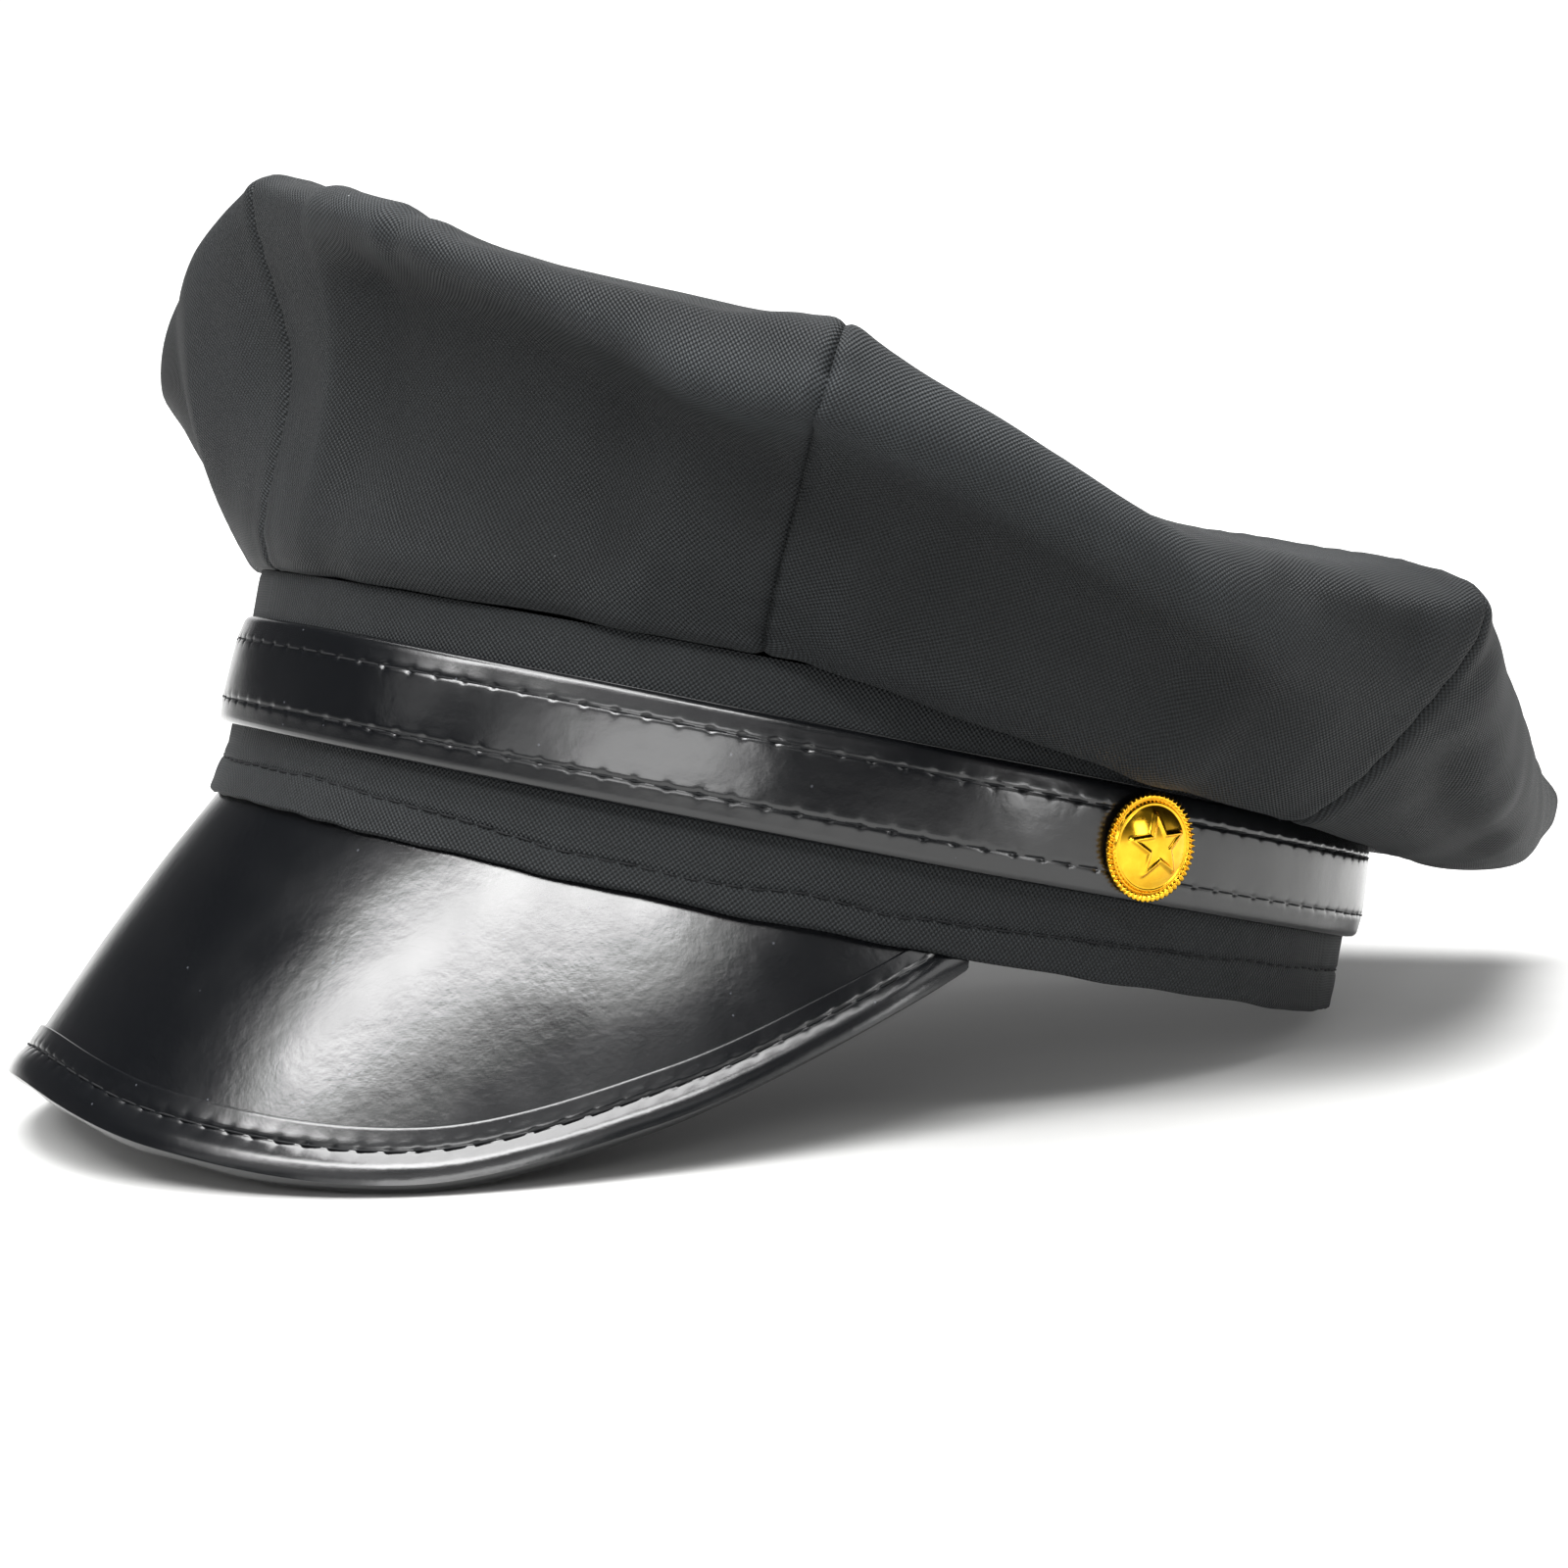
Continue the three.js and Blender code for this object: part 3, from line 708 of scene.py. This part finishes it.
section = []
for inset in np.linspace(8.0, 1.0, 9):  # the lower leaf, from its raw edge outward
    section.append(on_visor(edge_t, up_from_edge(inset), (VISOR_SHEET + UNDERSIDE) * thin))
bulge = 0.18 * ripple(edge_line, 24.0, 32)
for a in np.radians(np.linspace(-75, 75, 9)):  # round the outer edge
    d = edge_width - EDGE_RADIUS * (1 - math.cos(a)) + bulge
    deep = VISOR_SHEET / 2 - (VISOR_SHEET / 2 + UNDERSIDE) * math.sin(a)
    section.append(on_visor(edge_t, d, deep * thin))
for inset in insets:
    d = up_from_edge(inset)
    seat = on_visor(edge_t, d, 0.0)
    section.append(on_visor(edge_t, d, (-0.1 - binding_lift(edge_s, seat, inset)) * thin))
inner_path = [(10.0, -0.2), (9.0, -0.2), (6.0, -0.2), (3.0, -0.2), (1.2, -0.2),
              (1.1, VISOR_SHEET / 2), (1.2, VISOR_SHEET + 0.2), (3.0, VISOR_SHEET + 0.2),
              (6.0, VISOR_SHEET + 0.2), (8.0, VISOR_SHEET + 0.2)]
for inset, deep in inner_path:
    section.append(on_visor(edge_t, up_from_edge(inset), deep * thin))
binding_loops = np.stack(section, 1)
binding_uv = pairs(edge_s, np.arange(len(section)) * 0.6)
binding = loft("visor_binding_folded", binding_loops, binding_uv, patent_fold, crisp=60)
finish_piece(binding, "patent_binding", "visor_binding")

row_d = up_from_edge(BINDING_ROW)
row_path = on_visor(edge_t, row_d, -0.6 * thin)
row_up = unit(on_visor(edge_t, row_d, -1.0) - on_visor(edge_t, row_d, 0.0))
seen = edge_width > BINDING_ROW + 4.5
stitch_row("binding_stitches", row_path[seen], row_up[seen], BINDING_PITCH, 0.16, seed=4)

# %% [markdown]
# The crown is six gores of the suiting. No wire holds it up, so it stands in soft corners
# where the seams pass over the ridge, sags between them, and folds out over the strap at the
# sides and behind. Cloth simulation could drop such a crown, but it wouldn't drop it into
# this cap's own folds. So seven section lines, one at each seam and one down each gore,
# carry the main form, and smaller folds are laid over them one by one.

# %% Crown sections
REACH, RISE, FOLD = 120.0, 61.5, 12.0
APEX_RISE = 0.65
# degrees from the front: turn, then fold (out, down), side, ridge and top (reach, rise)
SECTIONS = {
    0: (0, (0.25, -0.42), (0.875, 0.55), (0.97, 1.02), (0.52, 0.88)),
    30: (0, (0.33, -0.42), (0.885, 0.5), (0.95, 0.885), (0.5, 0.77)),
    60: (3.5, (0.21, -0.25), (0.89, 0.39), (1.03, 0.775), (0.52, 0.7)),
    90: (0, (0.54, 0.48), (0.885, 0.1), (0.94, 0.465), (0.48, 0.56)),
    120: (0, (0.92, 0.75), (0.965, 0.14), (1.038, 0.492), (0.52, 0.588)),
    150: (0, (0.75, 0.98), (1.02, -0.08), (0.995, 0.25), (0.55, 0.47)),
    180: (0, (1, 0.75), (1.225, -0.1), (1.275, 0.085), (0.68, 0.4)),
}
SLACK_SECTIONS = SECTIONS | {30: (0, (0.44, -0.42), (1.085, 0.42), (0.985, 0.85), (0.5, 0.77))}


def polar(radius, angle, z):
    return np.stack([radius * np.cos(angle), radius * np.sin(angle), z + 0 * angle], -1)


def crown_knots(degrees, sections):
    """The six knots of the crown's line at each angle, from the band up to the apex."""
    degrees = np.atleast_1d(np.asarray(degrees, float))
    first = np.minimum(degrees // 60, 2).astype(int) * 60
    u = (degrees - first) / 60
    weights = np.array([(1 - u) * (1 - 2 * u), 4 * u * (1 - u), u * (2 * u - 1)])[..., None]
    rows = [[sections[f + 30 * k] for f in first] for k in range(3)]

    def mix(column, share):
        total = 0
        for k, row in enumerate(rows):
            reach, up = np.array([r[column] for r in row]).T
            at = np.radians(first + 30 * k + np.array([r[0] for r in row]) * share)
            total = total + weights[k] * polar(REACH * reach, at, BAND_HEIGHT + RISE * up)
        return total

    fold = FOLD * sum(weights[k] * np.array([r[1] for r in row]) for k, row in enumerate(rows))
    angle = np.radians(degrees)
    foot = 1 / np.hypot(np.cos(angle) / HALF_LENGTH, np.sin(angle) / HALF_WIDTH) + 0.3
    return np.stack([
        polar(foot, angle, BAND_HEIGHT + 0.1),
        polar(foot + fold[:, 0], angle, BAND_HEIGHT - fold[:, 1]),
        mix(2, 0.5), mix(3, 1.0), mix(4, 0.5),
        polar(0.3, angle, BAND_HEIGHT + RISE * APEX_RISE),
    ], 1)


def crown_line(degrees, heights, sections=SECTIONS):
    """Points on a smooth curve through each angle's knots, at heights that count the knots."""
    p = crown_knots(degrees, sections)
    p = np.concatenate([2 * p[:, :1] - p[:, 1:2], p, 2 * p[:, -1:] - p[:, -2:-1]], 1)
    k = np.minimum(heights.astype(int), 4)
    a, b, c, d = (p[:, k + n] for n in range(4))
    t1 = np.linalg.norm(b - a, axis=-1, keepdims=True) ** 0.5
    t2 = t1 + np.linalg.norm(c - b, axis=-1, keepdims=True) ** 0.5
    t3 = t2 + np.linalg.norm(d - c, axis=-1, keepdims=True) ** 0.5
    t = t1 + (t2 - t1) * (heights - k)[None, :, None]
    ab = a + (b - a) * t / t1
    bc = b + (c - b) * (t - t1) / (t2 - t1)
    cd = c + (d - c) * (t - t2) / (t3 - t2)
    abc = ab + (bc - ab) * t / t2
    bcd = bc + (cd - bc) * (t - t1) / (t3 - t1)
    return abc + (bcd - abc) * (t - t1) / (t2 - t1)


print("front corner at", crown_line(0, np.array([3.0]))[0, 0].round(1))

# %% [markdown]
# Each fold is a line across the cloth, given by places on the crown, with a depth and a
# width. The cloth rises or sinks beside the line and fades out towards its ends. Long soft
# folds run from the corners, where the weight of the crown hangs, and shorter ones gather at
# the band.

# %% Folds
# depth in mm (+ is out), width in mm, places as (degrees, height)
FOLDS = [
    (-3.0, 12, [(66, 2.0), (58, 1.95), (52, 2.05), (45, 2.15), (36, 2.3), (26, 2.4),
                (17, 2.45), (9, 2.5)]),
    (-5.4, 30, [(10, 1.9), (22, 1.85), (36, 1.75), (50, 1.65)]),
    (1.5, 12, [(12, 0.95), (24, 1.0), (36, 1.0), (50, 0.95)]),
    (-2.2, 10, [(27, 3.1), (35, 3.1), (46, 3.1), (57, 3.12)]),
    (-2.6, 13, [(60, 2.05), (68, 2.25), (76, 2.35), (85, 2.3), (95, 2.15), (104, 2.0),
                (112, 1.9)]),
    (-3.4, 26, [(66, 1.7), (78, 1.85), (90, 1.85), (104, 1.7)]),
    (2.0, 13, [(64, 1.2), (76, 1.35), (86, 1.4), (96, 1.3), (106, 1.2)]),
    (2.6, 9, [(46, 2.6), (52, 2.55), (57, 2.55), (62, 2.68), (70, 2.84), (80, 2.92),
              (93, 2.78)]),
    (-1.6, 8, [(100, 3.05), (106, 2.85), (112, 2.7), (117, 2.6)]),
    (-0.9, 9, [(110, 3.15), (114, 3.15), (119, 3.12)]),
    (1.3, 10, [(122, 2.55), (127, 2.38), (135, 2.2), (144, 2.1)]),
    (-2.0, 9, [(124, 2.2), (132, 1.8), (142, 1.7), (152, 1.8)]),
    (0.7, 12, [(134, 2.95), (146, 2.9), (158, 2.85)]),
]
RIDGE_FOLD = [(50, 2.52), (56, 2.52), (62, 2.62), (68, 2.76), (74, 2.86), (82, 2.84),
              (90, 2.76), (97, 2.62), (104, 2.48), (112, 2.35)]
LEFT_FOLDS = FOLDS + [
    (3.6, 9, [(10, 2.86), (17, 2.84), (25, 2.8), (33, 2.73), (42, 2.62)] + RIDGE_FOLD),
    (1.8, 12, [(25, 3.02), (18, 3.05), (11, 3.08)]),
]
RIGHT_FOLDS = FOLDS[1:] + [(3.6, 9, [(42, 2.62)] + RIDGE_FOLD)]


def nearest_on(line, points):
    """Distance from each point to a broken line, and the nearest place's share of the line."""
    best = np.full(len(points), 1e9)
    where = np.zeros(len(points))
    for k, (a, b) in enumerate(zip(line[:-1], line[1:])):
        u = np.clip((points - a) @ (b - a) / ((b - a) @ (b - a)), 0, 1)
        gap = np.linalg.norm(points - a - u[:, None] * (b - a), axis=1)
        where = np.where(gap < best, (k + u) / (len(line) - 1), where)
        best = np.minimum(best, gap)
    return best, where


def folded(points, normals, sections, folds):
    total = 0
    share = np.linspace(0, 1, 36)
    for depth, width, places in folds:
        degrees, heights = np.array(places, float).T
        knots = np.linspace(0, 1, len(places))
        line = np.array([
            crown_line(a, np.array([h]), sections)[0, 0]
            for a, h in zip(np.interp(share, knots, degrees), np.interp(share, knots, heights))
        ])
        gap, where = nearest_on(line, points.reshape(-1, 3))
        end = smooth(where / 0.2 + 0.1) * smooth((1 - where) / 0.2 + 0.1)
        lift = depth * end * np.exp(-(gap / width) ** 2 * 2)
        total = total + lift.reshape(points.shape[:-1])
    fine = 0.35 * ripple(points, 38.0, 41) + 0.14 * ripple(points, 14.0, 42)
    return points + normals * (total + fine)[..., None], total


print(len(LEFT_FOLDS), "folds on the left,", len(RIGHT_FOLDS), "on the right")

# %% [markdown]
# A gore is one sheet from the band to the top. Beside each seam the cloth turns in, which
# leaves a narrow dark groove with a soft shoulder, and small puckers follow the thread. The
# same turn happens where the crown meets the band. The right-hand gores are the left-hand
# ones mirrored. The front one alone shows, past the front seam, and hangs a little slacker.
# How far the folds lift the cloth is kept with each point, for the painted highlight on fold
# crests and painted shade in fold hollows.

# %% Gores
GORE_WALL = 1.2
even = np.linspace(0, 1, 111)
columns = 0.62 * even + 0.38 * (0.5 - 0.5 * np.cos(math.pi * even))  # closer at the seams
heights = np.concatenate([
    np.array([0, 0.02, 0.045, 0.075, 0.11, 0.15]), np.linspace(0.2, 0.95, 13),
    np.linspace(1, 1.95, 24), np.linspace(2, 3.95, 60), np.linspace(4, 5, 22),
])


def normals_of(points):
    """Normals, which at a seam lie in its upright plane, so that both gores share them."""
    along = np.gradient(points, axis=1)
    n = np.cross(np.gradient(points, axis=0), along)
    for edge in (0, -1):
        x, y, _ = points[edge].T
        n[edge] = np.cross(unit(np.stack([-y, x, 0 * x], -1)), along[edge])
    return unit(n)


def gore_sheet(first, sections, folds):
    base = crown_line(first + 60 * columns, heights, sections)
    outer, lift = folded(base, normals_of(base), sections, folds)
    n = normals_of(outer)
    from_left, up = lengths_along(outer, 0), lengths_along(outer, 1)
    width = from_left[-1]
    edge = np.minimum(from_left, width - from_left)
    groove = -0.75 * np.exp(-(edge / 0.7) ** 2) + 0.2 * np.exp(-((edge - 2.6) / 1.8) ** 2)
    pucker = 0.12 * np.sin(up / 0.9) * np.exp(-(edge / 3.5) ** 2)
    foot = -0.6 * np.exp(-(up / 0.6) ** 2) + 0.25 * np.exp(-((up - 2.4) / 1.6) ** 2)
    near_top = smooth((width - 5) / 14)
    outer = outer + n * ((groove + pucker) * near_top + foot)[..., None]
    uv = np.stack([from_left - width / 2, up], -1)
    # The last value is how far the folds lift the cloth, which the cloth turns into painted
    # highlight and painted shade.
    return outer, n, uv, np.clip(lift / 4.2, -0.35, 1)


def gore(name, first, mirror, node):
    sections, folds = (SLACK_SECTIONS, RIGHT_FOLDS) if mirror else (SECTIONS, LEFT_FOLDS)
    outer, n, uv, painted_fold_light = gore_sheet(first, sections, folds)
    inner = outer - n * GORE_WALL
    loops = np.concatenate([outer, inner[:, ::-1]], 1)
    marks = np.concatenate([uv, uv[:, ::-1]], 1)
    painted_fold_light = np.concatenate([painted_fold_light, painted_fold_light[:, ::-1]], 1)
    if mirror:
        loops, marks, painted_fold_light = loops[::-1] * [1, -1, 1], marks[::-1], painted_fold_light[::-1]
    piece = loft(name, loops, marks, cloth_black, crisp=70)
    # Kept with each point for the cloth's painted highlight and painted shade on its folds.
    painted_fold_light_layer = piece.data.attributes.new("painted_fold_light", "FLOAT", "POINT")
    painted_fold_light_layer.data.foreach_set("value", painted_fold_light.ravel())
    return finish_piece(piece, "black_cloth", node)


for place, first in (("front", 0), ("side", 60), ("rear", 120)):
    for hand in ("left", "right"):
        end = f"{place}_{hand}"
        gore("crown_cloth_" + end, first, hand == "right", "crown_gore_" + end)

# %% [markdown]
# The buttons are stamped brass shells with a knurled rim like a rope, a thin raised ring
# inside it, and a domed face with the outline of a five-point star. Stamping is a height
# map in metal, so the face is built as one: a fine polar grid whose height is the dome, plus
# the ring, plus a ridge along the star's edges. The rim is a turned profile with a twist of
# small lobes pressed into it.

# %% Buttons
BUTTON_SPREAD, BUTTON_ANGLE = 1.04, math.radians(103.5)
STAR_RADIUS, STAR_WAIST, STAR_TURN, STAR_SHIFT = 5.0, 0.42, math.radians(15), (0.5, 0.2)
RING_RADIUS, RIM_MIDDLE, LOBES = 6.75, 7.85, 56
BUTTON_STAND = 2.5  # mm off the band
spokes = np.linspace(0, 2 * math.pi, 384, endpoint=False)


def star_distance(x, y):
    """Distance to the outline of a five-point star, negative inside it."""
    turns = STAR_TURN + math.pi / 2 + np.arange(11) * math.pi / 5
    radii = STAR_RADIUS * np.where(np.arange(11) % 2 == 0, 1, STAR_WAIST)
    corners = polar(radii, turns, 0)[:, :2]
    away, _ = nearest_on(corners, np.stack([x, y], -1))
    side = np.ones(x.shape)
    for a, b in zip(corners[:-1], corners[1:]):
        run, climb = b - a
        crosses = ((a[1] > y) != (b[1] > y)) & (x < run * (y - a[1]) / (climb + 1e-12) + a[0])
        side = np.where(crosses, -side, side)
    return side * away


def button(name, hand, node):
    radii = np.r_[0.02, np.linspace(0.1, 6.6, 66), 6.75, 6.9, 7.05, 7.2]
    rows = []
    for r in radii:
        x, y = r * np.cos(spokes), r * np.sin(spokes)
        away = star_distance(x - STAR_SHIFT[0], y - STAR_SHIFT[1])
        dome = 2.7 - 1.6 * (r / 7.0) ** 2
        ridge = 0.42 * np.exp(-(away / 0.34) ** 2) + 0.12 * smooth(-away / 0.8)
        ring = 0.26 * math.exp(-((r - RING_RADIUS) / 0.2) ** 2)
        rows.append(np.stack([x, y, dome + ridge + ring], -1))
    rim = [(7.3, 1.1), (7.4, 1.2), (7.6, 1.42), (7.85, 1.5), (8.1, 1.42), (8.28, 1.15),
           (8.3, 0.85), (8.22, 0.55), (7.9, 0.25), (7.4, 0.05), (5.0, 0.0), (1.5, 0.0),
           (1.5, -3.0), (3.0, -3.4), (3.0, -4.0), (0.02, -4.0)]
    for k, (r, z) in enumerate(rim):
        knurl = 0.3 * np.cos(LOBES * spokes + 0.8 * k) * (1 if 2 <= k <= 6 else 0)
        rows.append(polar(r + knurl * (r - RIM_MIDDLE) / 0.5, spokes, z + knurl * 0.8))
    grid = np.array(rows)[::-1]
    t = BUTTON_ANGLE * hand
    spot = beside(np.array(t), BUTTON_STAND, STRAP_BASE + STRAP_WIDTH / 2)
    facing = outward(np.array(t))
    up = np.array([0, 0, 1.0])
    across = np.cross(up, facing)
    grid[..., :2] *= BUTTON_SPREAD
    placed = spot + grid[..., :1] * across + grid[..., 1:2] * up + grid[..., 2:] * facing
    sides, ends = tube_faces(*placed.shape[:2])
    piece = smooth_mesh(name, on_table(placed.reshape(-1, 3)).tolist(), sides + ends, brass)
    print(name, "has", len(sides + ends), "faces")
    return finish_piece(piece, "gilt_brass", node)


button("button_stamped_left", 1, "button_left")
button("button_stamped_right", -1, "button_right")

# %% [markdown]
# The cap stands on a pale floor that curves up into a low wall all round, so that no
# horizon cuts the picture. Behind the cap the wall is lit through from outside, as in a light
# tent, only as wide as the picture needs. Elsewhere the wall is painted dark grey, a painted
# shade that stands for a dim room, because black patent mirrors it. The floor is plain card,
# painted matt, with the slightest grain.

# %% Floor
FAR_SIDE = (-math.cos(EYE_AZIMUTH), -math.sin(EYE_AZIMUTH), 0.0)  # away from the camera
RIGHT_SIDE = (-math.sin(EYE_AZIMUTH), math.cos(EYE_AZIMUTH), 0.0)  # to the picture's right
FLAT, BEND, WALL_TOP = 1.5, 0.9, 1.6  # metres: the flat floor, its upward bend and the wall
FLOOR_SIDES = 96


def painted_card():
    material, tree = new_material("pale_painted_card")
    place = add(tree, "ShaderNodeTexCoord").outputs["Object"]
    grain = add(tree, "ShaderNodeTexNoise", {"Scale": 40.0}, {"Vector": place})
    tone = add(tree, "ShaderNodeValToRGB", {}, {"Fac": grain.outputs["Fac"]})
    tone.color_ramp.elements[0].color = linear("#b4b4b3")
    tone.color_ramp.elements[1].color = linear("#bcbcbb")
    toward, aside = [
        add(tree, "ShaderNodeVectorMath", {"operation": "DOT_PRODUCT", 1: way}, {0: place})
        for way in (FAR_SIDE, RIGHT_SIDE)]
    beyond = add(tree, "ShaderNodeMapRange", {"From Min": -0.1, "From Max": 1.3},
                 {"Value": toward.outputs["Value"]})
    off_axis = add(tree, "ShaderNodeMath", {"operation": "ABSOLUTE"},
                   {0: aside.outputs["Value"]})
    within = add(tree, "ShaderNodeMapRange", {"From Min": 1.2, "From Max": 0.7},
                 {"Value": off_axis.outputs[0]})
    glow = add(tree, "ShaderNodeMath", {"operation": "MULTIPLY"},
               {0: beyond.outputs[0], 1: within.outputs[0]})
    # Above the floor the wall is painted dark grey, a painted shade that stands for a dim
    # room.
    level = add(tree, "ShaderNodeSeparateXYZ", {}, {"Vector": place})
    painted_wall_shade = add(tree, "ShaderNodeMapRange", {"From Min": 0.1, "From Max": 0.35},
                {"Value": level.outputs["Z"]})
    card_and_painted_shade = add(tree, "ShaderNodeMix", {"data_type": "RGBA", MIX_B: linear("#4c4c4d")},
               {"Factor": painted_wall_shade.outputs[0], MIX_A: tone.outputs[0]})
    card = add(tree, "ShaderNodeBsdfPrincipled",
               {"Roughness": 0.8, "Specular IOR Level": 0.1,
                "Emission Color": linear("#ffffff")},
               {"Base Color": card_and_painted_shade.outputs[MIXED], "Emission Strength": glow.outputs[0]})
    show(tree, card)
    return material


def floor():
    curve = np.radians([15, 30, 45, 60, 75, 90])
    radii = [0.02, 0.5, 1.0, FLAT, *(FLAT + BEND * np.sin(curve)), FLAT + BEND]
    levels = [0, 0, 0, 0, *(BEND * (1 - np.cos(curve))), WALL_TOP]
    turns = np.linspace(0, 2 * math.pi, FLOOR_SIDES, endpoint=False)
    rings = [polar(r, turns, z) for r, z in zip(radii[::-1], levels[::-1])]
    sides, ends = tube_faces(len(rings), FLOOR_SIDES)
    points = np.concatenate(rings).tolist()
    sheet = smooth_mesh("floor", points, sides + ends[1:], painted_card())
    print("the floor is", round(2 * radii[-1], 1), "m across")


floor()

# %% [markdown]
# Black patent shows nothing but its surroundings, so the lights are placed by what the visor
# and the strap mirror. A long softbox high in front, with a wider and dimmer one round it,
# fills the middle of the visor and fades at its sides. Low ones beside the camera make the
# pale patches on the strap, and a thin strip above them greys its upper border. One overhead
# lights the folds' upper flanks, and a weak one behind opens the shade at the back.

# %% Lights
def softbox(name, azimuth, elevation, distance, size, power, roll=0):
    """Rectangular light aimed at the cap, in degrees, metres and watts. The azimuth runs from
    the visor to the wearer's left, and the roll is about the light's own axis."""
    a, e = math.radians(azimuth), math.radians(elevation)
    way = Vector((math.cos(e) * math.cos(a), math.cos(e) * math.sin(a), math.sin(e)))
    data = bpy.data.lights.new(name, "AREA")
    data.shape = "RECTANGLE"
    data.size, data.size_y = size
    data.energy = power
    lamp = link(name, data)
    lamp.location = Vector((0, 0, 0.07)) + way * distance
    lamp.rotation_mode = "QUATERNION"
    level = way.to_track_quat("Z", "Y")
    lamp.rotation_quaternion = level @ Quaternion((0, 0, 1), math.radians(roll))


for lamp in (
    ("softbox_high", 40, 51, 1.5, (1.6, 0.26), 22, 7),
    ("softbox_wide", 40, 51, 1.6, (2.2, 0.5), 18, 7),
    ("softbox_low", 57, 15, 1.5, (0.85, 0.34), 4.5),
    ("softbox_low_wide", 47, 15, 1.55, (1.3, 0.34), 2.6),
    ("softbox_strip", 45, 29, 1.5, (3.2, 0.24), 2.6),
    ("softbox_side", 119, 6, 1.3, (0.26, 0.26), 1.6),
    ("softbox_fill", 135, 32, 1.5, (0.9, 0.6), 3.5),
    ("softbox_overhead", 75, 88, 1.3, (1.3, 1.3), 64),
):
    softbox(*lamp)
world = bpy.data.worlds.new("studio")
world.use_nodes = True
sky = world.node_tree.nodes["Background"].inputs
sky["Color"].default_value = linear("#9a9da0")
sky["Strength"].default_value = 0.12
bpy.context.scene.world = world
bpy.context.scene.view_settings.view_transform = "Standard"
